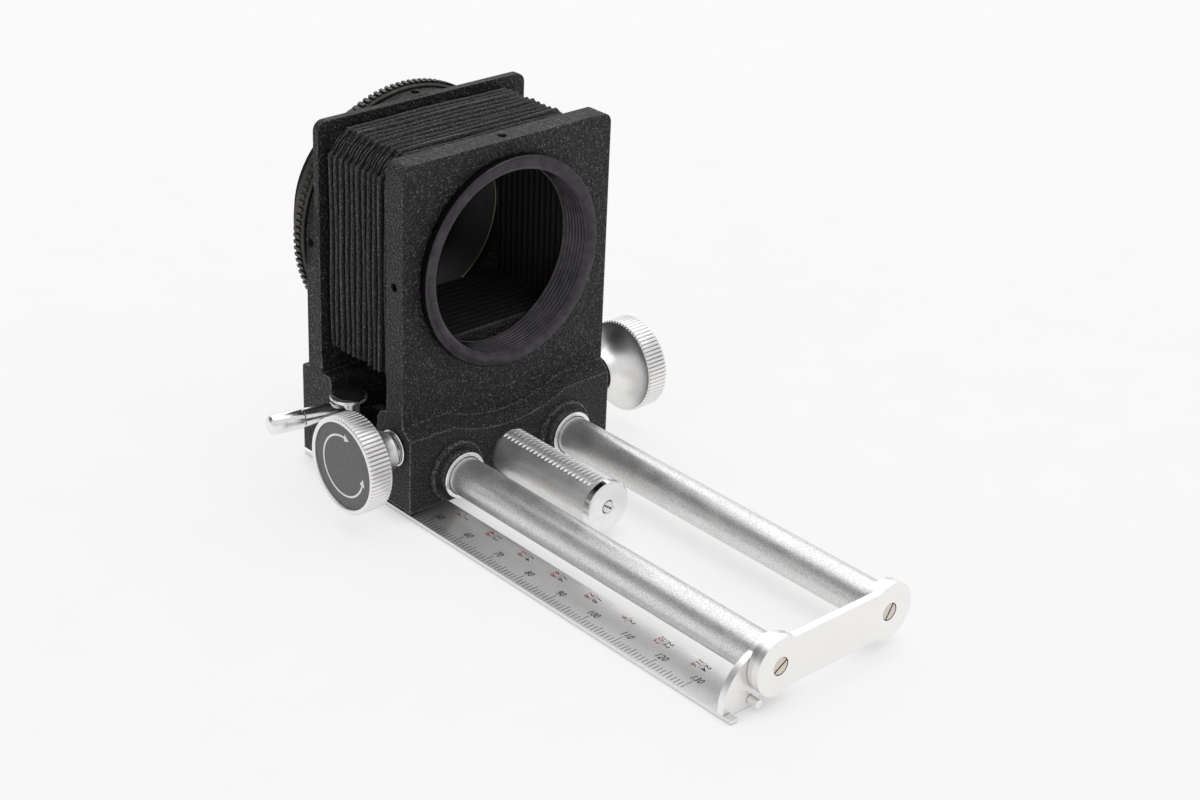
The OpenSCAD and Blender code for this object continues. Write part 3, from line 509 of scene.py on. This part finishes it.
# Bushes round the rails, each with a collar ahead of its boss
BOSS_Y = BOARD_Y - 3.3
BUSH_BACK = BOARD_BACK + 3.2
BUSH_R = RAIL_R + 0.7
BUSH_COLLAR_R = 5.4
BUSH_FRONT = BOSS_Y - 2.4
bush = [(RAIL_R + RUN, BUSH_FRONT), (BUSH_COLLAR_R, BUSH_FRONT), (BUSH_COLLAR_R, BOSS_Y), (BUSH_R, BOSS_Y),
        (BUSH_R, BUSH_BACK), (RAIL_R + RUN, BUSH_BACK)]
for s, side in SIDES:
    turned(side + "_bush_turned", bush, "Y", (s * RAIL_X, RAIL_Z), CHROME, "front", [side + "_rail_bush"])

# Stop disc at the rod's front end
DISC_R = 5.8
DISC_HEAD_HOLE = 1.42
DISC_SHANK_HOLE = 1.1
DISC_SEAT_Y = DISC_Y + DISC_T / 2
disc = [(DISC_HEAD_HOLE, DISC_Y), (DISC_R, DISC_Y), (DISC_R, ROD_FRONT), (DISC_SHANK_HOLE, ROD_FRONT),
        (DISC_SHANK_HOLE, DISC_SEAT_Y), (DISC_HEAD_HOLE, DISC_SEAT_Y)]
turned("rod_stop_disc", disc, "Y", ROD_AXIS, CHROME, "rod", ["rod_end_disc"], c=0.3)

# Rack rod
PITCH = math.pi * TOOTH_MODULE
GAPS_AHEAD = 27.5
GAPS_BEHIND = 4.5
RACK_DEPTH = 0.74
GAP_SHARE = 0.72
GAP_FLATNESS = 2.6
GAP_ROUNDNESS = 0.6


def rack_cap(y):
    """Height of the rod's top over its axis, with round-bottomed gaps between the teeth."""
    p = ((y - SHAFT_Y) / PITCH) % 1.0
    off = abs(p if p < 0.5 else p - 1) * 2
    return ROD_R - RACK_DEPTH * max(0.0, 1 - (off / GAP_SHARE) ** GAP_FLATNESS) ** GAP_ROUNDNESS


def rack():
    """The rod with teeth along its top."""
    round_steps = 72
    gap_steps = 14
    end_bevel = 0.2
    tail_bevel = 0.3
    first = SHAFT_Y - GAPS_AHEAD * PITCH
    last = SHAFT_Y + GAPS_BEHIND * PITCH
    count = round(GAPS_AHEAD + GAPS_BEHIND) * gap_steps
    ys = [ROD_FRONT, ROD_FRONT + end_bevel]
    ys += [first + (last - first) * i / count for i in range(count + 1)]
    ys += [ROD_TAIL - tail_bevel, ROD_TAIL]
    verts = []
    for y in ys:
        r = ROD_R - (end_bevel if y in (ROD_FRONT, ROD_TAIL) else 0)
        cap = rack_cap(y) if first <= y <= last else ROD_R
        for j in range(round_steps):
            a = TURN * j / round_steps
            verts.append((r * math.cos(a), y, ROD_Z + min(r * math.sin(a), cap)))
    faces = skin(len(ys), round_steps)
    faces.append(tuple(range(round_steps)))
    faces.append(tuple(range((len(ys) - 1) * round_steps, len(ys) * round_steps)))
    return finish_mesh("toothed_rod", verts, faces, ROD_METAL, "rod", ["rack_rod"], sharp=28)


rack()

# Lens ring with its thread, and the light line at the end of each inner tube
LENS_FACE = BOARD_Y - 2.2
LENS_TURNS = 7
THREAD_PITCH = 1.0
THREAD_START = 0.62
CREST_R = 20.5
ROOT_R = 20.98
TUBE_IN_R = 20.6
RING_R = 23.75
SLEEVE_R = 22.4
REAR_TUBE_Y = REAR_Y - 0.12
FINE = 160


def lens_thread():
    """The outline of the thread's turns, from the face inward."""
    groove = ((CREST_R, 0), (CREST_R, 0.14), (ROOT_R, 0.45), (ROOT_R, 0.62), (CREST_R, 0.93))
    starts = [LENS_FACE + THREAD_START + i * THREAD_PITCH for i in range(LENS_TURNS)]
    return [(r, start + y) for start in starts for r, y in groove]


def lens_ring():
    """The ring with its flat face, bevelled rim, sleeve and inner thread."""
    face_in = 21.45
    bevel = 0.35
    mouth = 0.5
    outside = [(face_in, LENS_FACE), (RING_R - bevel, LENS_FACE)]
    outside += [(RING_R, LENS_FACE + bevel), (RING_R, BOARD_Y)]
    sleeve = [(SLEEVE_R, BOARD_Y), (SLEEVE_R, BOARD_BACK), (TUBE_IN_R, BOARD_BACK)]
    inside = lens_thread()[::-1] + [(TUBE_IN_R, LENS_FACE + mouth)]
    turned("lens_ring_turned", outside + sleeve + inside, "Y", LENS_AXIS, RING_METAL, "front",
           ["lens_mount_ring"], n=FINE, c=0.03)


def tube_edge(name, y, thick, r_in, r_out, body):
    """A thin brassy line round the end of an inner tube."""
    turned(name, tube(r_in, r_out, y, y + thick), "Y", LENS_AXIS, THREAD_LINE, body,
           n=FINE, c=0)


lens_ring()
tube_edge("lens_ring_edge", BOARD_BACK, thick=0.08, r_in=20.47, r_out=20.72, body="front")
tube_edge("rear_tube_edge", REAR_TUBE_Y, thick=0.1, r_in=20.5, r_out=20.7, body="base")

# Cross shaft and its collars, each with a spigot in the casting and a groove near its outer face
SHAFT_R = 1.75
SHAFT_HALF = 39.6
COLLAR_LEN = 1.6
COLLAR_END = FRONT_W + COLLAR_LEN
SPIGOT_R = 3.0
SPIGOT_LEN = 6.3
SPIGOT_END = FRONT_W - SPIGOT_LEN


def collar(s, side, r, mat):
    """The collar round the shaft on one side of the front casting."""
    bore = SHAFT_R + RUN
    slope = 0.05
    groove_r = r - 0.6
    groove_start = FRONT_W + 0.6
    groove_end = groove_start + 0.25
    lip_r = r - 0.25
    profile = [(bore, SPIGOT_END), (SPIGOT_R, SPIGOT_END), (SPIGOT_R, FRONT_W), (r, FRONT_W)]
    profile += [(r, groove_start - slope), (groove_r, groove_start), (groove_r, groove_end)]
    profile += [(lip_r, groove_end + slope), (lip_r, COLLAR_END), (bore, COLLAR_END)]
    turned(side + "_collar_turned", [(q, s * t) for q, t in profile], "X", SHAFT_AXIS, mat, "front",
           [side + "_shaft_collar"])


turned("cross_shaft", bar(SHAFT_R, -SHAFT_HALF, SHAFT_HALF), "X", SHAFT_AXIS, ROD_METAL, "focus",
       ["focus_shaft"])
collar(-1, "left", r=4.1, mat=CHROME)
collar(1, "right", r=4.5, mat=BLACK_METAL)

# Focusing knobs
KNOB_R = 10.9
KNOB_FRONT = 42.2
KNOB_T = 5.5
KNOB_BACK = KNOB_FRONT - KNOB_T
PLATE_SINK = 0.5
HUB_R = 4.4
HUB_GAP = 0.5
HUB_END = COLLAR_END + HUB_GAP
RIDGES = 72
RIDGE_STEPS = 8
RIDGE_D = 0.42
# Shares of the way out from the hub's radius and of the way along to the knob's back
FLARE_SHARES = ((0, 0), (0, 0.12), (0.02, 0.22), (0.05, 0.32), (0.1, 0.43), (0.17, 0.53), (0.26, 0.63),
                (0.37, 0.72), (0.5, 0.8), (0.66, 0.88), (0.82, 0.945), (1, 1))


def ridge_wave(u):
    """Depth of the groove between two ridges at a share of a turn."""
    p = (u * RIDGES) % 1.0
    return RIDGE_D * max(0.0, 1 - abs(2 * p - 1) * 2.0)


def knob(s, side):
    """A knob with a flared hub, a ridged rim and a sunk face."""
    bore = SHAFT_R + 0.03
    flare_r = KNOB_R - 0.8
    back_r = KNOB_R - 0.45
    front_r = KNOB_R - 0.4
    lip_r = KNOB_R - 1.0
    sink_r = 9.72
    sink_x = KNOB_FRONT - 1.0
    profile = [(bore, HUB_END)]
    profile += [(HUB_R + (flare_r - HUB_R) * out, HUB_END + (KNOB_BACK - HUB_END) * along)
                for out, along in FLARE_SHARES]
    profile += [(back_r, KNOB_BACK, 0), (KNOB_R, KNOB_BACK + 0.35, 1)]
    profile += [(KNOB_R, KNOB_FRONT - 0.4, 1), (front_r, KNOB_FRONT, 0)]
    profile += [(lip_r, KNOB_FRONT), (sink_r, KNOB_FRONT - 0.2), (sink_r, sink_x), (bore, sink_x)]
    profile = [(p[0], s * p[1], *p[2:]) for p in profile]
    turned(side + "_knob_turned", profile, "X", SHAFT_AXIS, KNOB_METAL, "focus", [side + "_knob"],
           n=RIDGES * RIDGE_STEPS, c=0.04, wave=ridge_wave, sharp=40)


def arc_arrows(s, side):
    """A thin arc with an arrow head at each end, on the knob's plate."""
    x = s * (KNOB_FRONT - PLATE_SINK)
    arc_r = 6.9
    half_w = 0.22
    half_t = 0.02
    head_w = 0.85
    head_turn = 0.24
    start, end = math.radians(86), math.radians(343)
    steps = 72
    verts = []
    faces = []

    def point(r, a, dx):
        return (x + s * dx, SHAFT_Y + s * r * math.cos(a), SHAFT_Z + r * math.sin(a))

    for dx in (-half_t, half_t):
        for i in range(steps + 1):
            a = start + (end - start) * i / steps
            verts += [point(arc_r - half_w, a, dx), point(arc_r + half_w, a, dx)]
    m = 2 * (steps + 1)
    for b in range(0, 2 * steps, 2):
        faces += [(b, b + 1, b + 3, b + 2), (m + b, m + b + 2, m + b + 3, m + b + 1),
                  (b, b + 2, m + b + 2, m + b), (b + 1, m + b + 1, m + b + 3, b + 3)]
    faces += [(0, m, m + 1, 1), (m - 2, m - 1, 2 * m - 1, 2 * m - 2)]
    for a, way in ((start, -1), (end, 1)):
        k = len(verts)
        for dx in (-half_t, half_t):
            verts += [point(arc_r - head_w, a, dx), point(arc_r + head_w, a, dx)]
            verts.append(point(arc_r, a + way * head_turn, dx))
        faces += [(k, k + 1, k + 2), (k + 3, k + 5, k + 4), (k, k + 3, k + 4, k + 1),
                  (k + 1, k + 4, k + 5, k + 2), (k + 2, k + 5, k + 3, k)]
    finish_mesh(side + "_knob_arrows", verts, faces, WHITE_PAINT, "focus")


for s, side in SIDES:
    knob(s, side)
for s, side in SIDES:
    arc_arrows(s, side)

# Slotted screw heads


def slotted_head(name, x, z, y0, r, depth, slot_w, slot_d, turn, mat, body, nodes):
    """A round head facing -Y with a straight slot, made of two half rounds on a disc."""
    rim = 0.12
    half_steps = 24
    slot_angle = math.asin(slot_w / 2 / r)
    across = math.pi - 2 * slot_angle
    cos_turn, sin_turn = math.cos(math.radians(turn)), math.sin(math.radians(turn))
    half = [slot_angle + across * i / half_steps for i in range(half_steps + 1)]
    other = [a + math.pi for a in half]
    whole = [math.pi * i / half_steps for i in range(2 * half_steps)]
    verts = []
    faces = []
    for angles, t0, t1 in ((half, 0, slot_d), (other, 0, slot_d), (whole, slot_d, depth)):
        k, n = len(verts), len(angles)
        for ring_r, t in ((r - rim, t0), (r, t0 + rim), (r, t1)):
            for a in angles:
                px, pz = ring_r * math.cos(a), ring_r * math.sin(a)
                verts.append((x + px * cos_turn - pz * sin_turn, y0 + t, z + px * sin_turn + pz * cos_turn))
        faces += skin(3, n, k)
        faces += [tuple(range(k, k + n)), tuple(range(k + 2 * n, k + 3 * n))]
    return finish_mesh(name, verts, faces, mat, body, nodes, sharp=30)


END_HEAD_Y = END_Y + 0.08
SEAT_D = 0.85
SEAT_R = 1.98
SEAT_RIM_R = 2.415
seat = tube(SEAT_R, SEAT_RIM_R, END_Y, END_Y + SEAT_D)
for (s, side), turn in zip(SIDES, (30, 60)):
    slotted_head("end_screw_" + side, s * RAIL_X, RAIL_Z, END_HEAD_Y, r=1.92, depth=0.82, slot_w=0.42,
                 slot_d=0.45, turn=turn, mat=BRASS, body="base", nodes=["end_plate_screws"])
    turned("end_plate_seat_" + side, seat, "Y", (s * RAIL_X, RAIL_Z), PLATE_METAL, "base",
           c=0)
ROD_HEAD_Y = DISC_Y + 0.06
slotted_head("rod_screw", 0, ROD_Z, ROD_HEAD_Y, r=1.36, depth=0.92, slot_w=0.46, slot_d=0.45, turn=-35,
             mat=ROD_METAL, body="rod", nodes=["rod_end_screw"])

# Clamp lever: a cup on a stem, its domed cap and a rod with a thicker grip
CUP_TOP = LEVER_Z + 3.0
CUP_R = 4.1
CUP_IN_R = 3.78
CUP_FLOOR = CUP_TOP - 0.48
CUP_RIM = CUP_TOP - 0.75
CUP_BEVEL = 0.15
STEM_R = 2.5
STEM_GAP = 0.03
STEM_LOW = RAIL_Z + LUG_RISE + STEM_GAP
STEM_BORE = 1.55
CAP_R = 3.74


def lever_cup():
    """The cup under the cap, with the stem below it."""
    profile = [(STEM_BORE, STEM_LOW), (STEM_R, STEM_LOW), (STEM_R, CUP_RIM), (CUP_R - CUP_BEVEL, CUP_RIM),
               (CUP_R, CUP_RIM + CUP_BEVEL), (CUP_R, CUP_TOP), (CUP_IN_R, CUP_TOP), (CUP_IN_R, CUP_FLOOR),
               (STEM_BORE, CUP_FLOOR)]
    turned("lever_cup", profile, "Z", BOLT_AXIS, LEVER_METAL, "lever", ["lock_lever"],
           c=0.08)


def lever_cap():
    """The gloss black cap with its low dome."""
    steps = 8
    foot = CUP_TOP + 0.12
    rise = 0.58
    profile = [(0, CUP_FLOOR), (CAP_R, CUP_FLOOR), (CAP_R, CUP_TOP + 0.1)]
    for i in range(1, steps):
        a = i * math.pi / 2 / steps
        profile.append((CAP_R * math.cos(a), foot + rise * math.sin(a)))
    profile.append((0, foot + rise))
    turned("lever_cap_turned", profile, "Z", BOLT_AXIS, GLOSS, "lever", ["lever_cap"],
           c=0, sharp=50)


def lever_rod():
    """The lever itself, turned a little from straight out to the left."""
    tip, r = 19.4, 2.05
    grip, grip_r = tip - 7.9, 2.3
    neck_r = 1.75
    # Shares of the grip's radius, and how far behind the tip they lie
    nose = ((1, 1.3), (0.97, 1.0), (0.85, 0.6), (0.66, 0.28), (0.4, 0.07), (0, 0))
    foot = 0.6
    profile = [(0, foot), (r, foot), (r, grip - 0.5), (neck_r, grip - 0.35), (neck_r, grip - 0.05)]
    profile.append((grip_r, grip + 0.1))
    profile += [(grip_r * share, tip - behind) for share, behind in nose]
    ob = turned("lever_rod", [(q, -t) for q, t in profile], "X", (0, 0), CHROME, None, c=0, sharp=40)
    rest_turn = Matrix.Rotation(math.radians(LEVER_REST_DEG), 4, "Z")
    ob.data.transform(Matrix.Translation((BOLT_X * MM, BOLT_Y * MM, LEVER_Z * MM)) @ rest_turn)
    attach(ob, "lever")


lever_cup()
lever_cap()
lever_rod()

# Bellows in two halves, because a blend works across one joint
BACK_Y = REAR_Y - BELLOWS_FRAME_T / 2
FRONT_Y = BOARD_BACK + BELLOWS_FRAME_T / 2
MID_Y = (FRONT_Y + BACK_Y) / 2
PLEATS = 12
PLEAT_W = 26.7
PLEAT_TOP = 26.5
PLEAT_LOW = 23.2
PLEAT_D = 4.4
CLOTH_T = 1.6
TOP_BEVEL = 4.9
LOW_BEVEL = 0.3
BEVEL_PER_INSET = 0.586
CREST_SHARE = 0.8
CREST_FLATNESS = 2.1
CREST_ROUNDNESS = 0.55
CREASE_D = 0.16
CREASE_SHARE = 0.07
CREST_WAVE = 0.13
WAVES_ROUND = 7
CORNER_FOLD_SHARE = 0.5
INNER_FOLD_SHARE = 0.9
FOLD_STEPS = 16
SIDE_STEPS = 16
BEVEL_STEPS = 5
LINING_MARGIN = 1
LOWEST_RIDGE, HIGHEST_RIDGE = -0.3, 0.15
WIDEST_PHASE = 6.28
ridge_high = [random.uniform(LOWEST_RIDGE, HIGHEST_RIDGE) for _ in range(PLEATS + 1)]
ridge_turn = [random.uniform(0, WIDEST_PHASE) for _ in range(PLEATS + 1)]
outlines = {}


def broad(p):
    """Height share of a fold, with a broad round crest in the middle of each fold."""
    off = abs(2 * (p % 1.0) - 1)
    return max(0.0, 1 - (off / CREST_SHARE) ** CREST_FLATNESS) ** CREST_ROUNDNESS


def crest_groove(p):
    """Depth of the thin crease along a crest."""
    return CREASE_D * max(0.0, 1 - abs((p % 1.0) - 0.5) / CREASE_SHARE)


def outline(inset):
    """Points round the pleat at one inset, with the share of corner at each."""
    w, top, low = PLEAT_W - inset, PLEAT_TOP - inset, PLEAT_LOW - inset
    cut = TOP_BEVEL - BEVEL_PER_INSET * inset
    corners = [(w, -low + LOW_BEVEL), (w, top - cut), (w - cut, top), (-w + cut, top), (-w, top - cut),
               (-w, -low + LOW_BEVEL), (-w + LOW_BEVEL, -low), (w - LOW_BEVEL, -low)]
    points = []
    for i, a in enumerate(corners):
        b = corners[(i + 1) % len(corners)]
        steps = BEVEL_STEPS if i % 2 else SIDE_STEPS
        for f in [j / steps for j in range(steps)]:
            share = math.sin(math.pi * f) if i in (1, 3) else 0
            points.append((a[0] + (b[0] - a[0]) * f, a[1] + (b[1] - a[1]) * f, share))
    return points


def pleat_point(inset, j, y):
    """Point j of the outline at an inset, at y. Each outline is worked out once."""
    key = round(inset, 3)
    if key not in outlines:
        outlines[key] = outline(key)
    x, z, _ = outlines[key][j]
    return (x, y, z)


def outer_inset(p, k, j, plain):
    """Depth of the outside behind the crests, p folds along, at point j of the plain outline, in fold k."""
    corner = plain[j][2]
    turn = WAVES_ROUND * TURN * j / len(plain)
    uneven = (ridge_high[k] + CREST_WAVE * math.sin(turn + ridge_turn[k])) * broad(p)
    single = PLEAT_D * (1 - broad(p))
    double = PLEAT_D * CORNER_FOLD_SHARE * (1 - broad(2 * p))
    return max(single * (1 - corner) + double * corner - uneven + crest_groove(p), 0.0)


def inner_inset(p):
    """Depth of the inside behind the crests, p folds along."""
    return PLEAT_D + CLOTH_T - PLEAT_D * INNER_FOLD_SHARE * (1 - broad(p + 0.5))


def bellows_half(name, y_from, y_to, first, nodes):
    """Half of the folds, from y_from to y_to, as an outer and an inner skin."""
    pleats = PLEATS // 2
    rows = pleats * FOLD_STEPS + 1
    plain = outline(0)
    count = len(plain)
    layer = rows * count
    outside = []
    inside = []
    for i in range(rows):
        p = i / FOLD_STEPS
        k = min(int(p), pleats - 1) + first
        y = y_from + (y_to - y_from) * i / (rows - 1)
        for j in range(count):
            outside.append(pleat_point(outer_inset(p, k, j, plain), j, y))
            inside.append(pleat_point(inner_inset(p), j, y))
    faces = skin(rows, count) + skin(rows, count, layer)
    for start in (0, (rows - 1) * count):
        faces += band(start, layer + start, count)
    ob = finish_mesh(name, outside + inside, faces, CLOTH, None, sharp=60)
    ob.data.materials.append(CLOTH_IN)
    for poly in ob.data.polygons:
        x, z = poly.center.x, poly.center.z
        faces_in = poly.normal.x * x + poly.normal.z * z < 0
        below_crest = abs(x) / MM < PLEAT_W - LINING_MARGIN and z / MM < PLEAT_TOP - LINING_MARGIN
        poly.material_index = int(faces_in and below_crest)
    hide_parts(*nodes)
    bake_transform(ob)
    return ob


bellows_half("bellows_rear_half", BACK_Y, MID_Y, 0, ["bellows"])
bellows_half("bellows_front_half", MID_Y, FRONT_Y, PLEATS // 2, ["bellows"])

# Graduations on the scale strip
INK_T = 0.012
SCALE_FIRST = 30
SCALE_LAST = 130
TICK_X = 0.5 - STRIP_OUT
TICK_W = 0.17
TEN_TICK = 3.1
FIVE_TICK = 2.4
ONE_TICK = 1.8
NUMBER_X = -22.6
NUMBER_H = 1.6
RATIO_X = -18.4
RATIO_H = 1.45
RATIO_HALF = 1.2
RATIO_AHEAD = 1.15
FACTOR_BEHIND = 1.25
RATIO_LINE_W = 0.1
MM_PER_RATIO = 53
RATIO_TENTHS = range(8, 25, 2)


def bars(name, boxes, mat, z0, z1):
    """Flat lines from (x0, x1, y0, y1) boxes."""
    verts = []
    faces = []
    for x0, x1, y0, y1 in boxes:
        k = len(verts)
        verts += [(x, y, z) for z in (z0, z1) for x, y in ((x0, y0), (x1, y0), (x1, y1), (x0, y1))]
        faces += [(k, k + 3, k + 2, k + 1), (k + 4, k + 5, k + 6, k + 7), (k, k + 1, k + 5, k + 4),
                  (k + 1, k + 2, k + 6, k + 5), (k + 2, k + 3, k + 7, k + 6), (k + 3, k, k + 4, k + 7)]
    return finish_mesh(name, verts, faces, mat, "base", smooth=False)


def label(text, name, x, y, height, along, up, mat, wide=0.82):
    """One number lying on the strip, centred at x, y."""
    font_share = 1.5
    curve = bpy.data.curves.new(name, "FONT")
    curve.body = text
    curve.size = height * MM * font_share
    curve.shear = 0.22
    curve.offset = 0.03 * MM
    curve.extrude = 0.006 * MM
    curve.align_x = "CENTER"
    curve.align_y = "CENTER"
    curve.resolution_u = 3
    flat = bpy.data.objects.new(name, curve)
    bpy.context.scene.collection.objects.link(flat)
    bpy.context.view_layer.update()
    me = bpy.data.meshes.new_from_object(flat.evaluated_get(bpy.context.evaluated_depsgraph_get()))
    bpy.data.objects.remove(flat)
    a, u = Vector((*along, 0)), Vector((*up, 0))
    rotation = Matrix((a * wide, u, a.cross(u))).transposed().to_4x4()
    lift = 0.008
    me.transform(Matrix.Translation((x * MM, y * MM, (STRIP_Z + lift) * MM)) @ rotation)
    me.materials.clear()
    me.materials.append(mat)
    ob = bpy.data.objects.new(name, me)
    bpy.context.scene.collection.objects.link(ob)
    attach(ob, "base")
    return ob


def tick_length(n):
    """Longer ticks at tens and fives."""
    if n % 10 == 0:
        return TEN_TICK
    return FIVE_TICK if n % 5 == 0 else ONE_TICK


def millimetre_scale():
    """A tick at each millimetre and a number at each ten but the first."""
    ticks = []
    for n in range(SCALE_FIRST, SCALE_LAST + 1):
        ticks.append((TICK_X, TICK_X + tick_length(n), -n - TICK_W / 2, -n + TICK_W / 2))
    bars("scale_ticks", ticks, INK, STRIP_Z, STRIP_Z + INK_T)
    for n in range(SCALE_FIRST + 10, SCALE_LAST + 1, 10):
        label(str(n), "scale_number_%d" % n, NUMBER_X, -n, NUMBER_H, (0, -1), (1, 0), INK)


def ratio_scale():
    """Magnifications in black and exposure factors in red, each pair at its bellows length."""
    lines = []
    for k in RATIO_TENTHS:
        ratio = k / 10
        y = -MM_PER_RATIO * ratio
        whole = k % 10 == 0
        factor = (ratio + 1) ** 2
        exposure = "%.1f" % factor if abs(factor - round(factor)) > 0.05 else str(round(factor))
        magnification = str(k // 10) if whole else "%.1f" % ratio
        pair = ((magnification, "ratio", -RATIO_AHEAD, INK), (exposure, "factor", FACTOR_BEHIND, RED_INK))
        for text, kind, shift, ink in pair:
            label(text, "%s_%d" % (kind, k), RATIO_X, y + shift, RATIO_H, (-1, 0), (0, -1), ink, wide=0.78)
        half_w = RATIO_LINE_W / 2
        lines.append((RATIO_X - RATIO_HALF, RATIO_X + RATIO_HALF, y - half_w, y + half_w))
    bars("ratio_lines", lines, INK, STRIP_Z, STRIP_Z + INK_T)


millimetre_scale()
ratio_scale()

# Floor, light and world, in metres
FLOOR_HALF = 6.0
FLOOR_GLOW = 0.775
SOFTBOX_PLACE = (0.25, 0.25, 0.8)
SOFTBOX_AIM = (0, -0.07, -0.03)
SOFTBOX_SIDE = 1.6
SOFTBOX_WATTS = 6.4
WORLD_STRENGTH = 0.76
DARK_WAY = (-0.54, 0.65, 0.535)
DARK_TONE = 0.22


def paper_floor():
    """A white paper that glows, with a painted contact shadow where the object stands close."""
    paper = enamel("paper_floor", grey(0.16), grey(0.17), rough=0.9, depth=0.002, size=4.0,
                   Specular_IOR_Level=0.0, Emission_Strength=FLOOR_GLOW)
    # The glow is dimmed near the object as a painted contact shadow.
    shadowed_glow = ramp(paper, openness(paper, reach_mm=7), [(0.15, grey(0.62)), (0.8, grey(1.0))])
    plug(paper, shadowed_glow, "Emission Color")
    me = bpy.data.meshes.new("floor")
    corners = ((-1, -1), (1, -1), (1, 1), (-1, 1))
    me.from_pydata([(FLOOR_HALF * x, FLOOR_HALF * y, FLOOR_Z * MM) for x, y in corners], [], [(0, 1, 2, 3)])
    me.materials.append(paper)
    floor = bpy.data.objects.new("floor", me)
    bpy.context.scene.collection.objects.link(floor)


def top_softbox():
    """A wide soft light over and behind the object."""
    light = bpy.data.lights.new("top_softbox", "AREA")
    light.shape = "SQUARE"
    light.size = SOFTBOX_SIDE
    light.energy = SOFTBOX_WATTS
    ob = bpy.data.objects.new("top_softbox", light)
    ob.location = SOFTBOX_PLACE
    aim = Vector(SOFTBOX_AIM) - Vector(SOFTBOX_PLACE)
    ob.rotation_euler = aim.to_track_quat("-Z", "Y").to_euler()
    bpy.context.scene.collection.objects.link(ob)


def studio_world():
    """White all round, with a darker patch in one direction that the bright metal mirrors."""
    world = bpy.data.worlds.new("studio")
    world.use_nodes = True
    t = world.node_tree
    t.nodes["Background"].inputs["Strength"].default_value = WORLD_STRENGTH
    place = t.nodes.new("ShaderNodeTexCoord")
    dot = t.nodes.new("ShaderNodeVectorMath")
    dot.operation = "DOT_PRODUCT"
    dot.inputs[1].default_value = DARK_WAY
    t.links.new(place.outputs["Generated"], dot.inputs[0])
    tent = t.nodes.new("ShaderNodeValToRGB")
    tent.color_ramp.interpolation = "EASE"
    for element, (position, v) in zip(tent.color_ramp.elements, ((0.82, 1.0), (0.985, DARK_TONE))):
        element.position = position
        element.color = (v, v, v * 1.01, 1)
    t.links.new(dot.outputs["Value"], tent.inputs["Fac"])
    t.links.new(tent.outputs["Color"], t.nodes["Background"].inputs["Color"])
    bpy.context.scene.world = world


paper_floor()
top_softbox()
studio_world()

# Camera, as fitted to the photo: its place in metres and its angles in degrees
CAMERA_PLACE = (-0.2904, -0.38474, 0.19432)
AZIMUTH = -43.167
ELEVATION = 26.933
ROLL = 2.506
FOCAL_PX = 2278.4
PHOTO_WIDTH_PX = 1200
SENSOR_MM = 36


def photo_camera():
    """The camera that took the photo."""
    az, el, roll = (math.radians(v) for v in (AZIMUTH, ELEVATION, ROLL))
    back = Vector((math.sin(az) * math.cos(el), -math.cos(az) * math.cos(el), math.sin(el)))
    right = Vector((math.cos(az), math.sin(az), 0))
    up = back.cross(right)
    rolled_right = right * math.cos(roll) + up * math.sin(roll)
    rolled_up = up * math.cos(roll) - right * math.sin(roll)
    camera = bpy.data.cameras.new("camera")
    camera.sensor_fit = "HORIZONTAL"
    camera.sensor_width = SENSOR_MM
    camera.lens = FOCAL_PX / PHOTO_WIDTH_PX * SENSOR_MM
    camera.clip_start = 0.01
    ob = bpy.data.objects.new("camera", camera)
    turned_by = Matrix((rolled_right, rolled_up, back)).transposed().to_4x4()
    ob.matrix_world = Matrix.Translation(CAMERA_PLACE) @ turned_by
    bpy.context.scene.collection.objects.link(ob)
    bpy.context.scene.camera = ob


photo_camera()
bpy.context.scene.view_settings.view_transform = "Standard"
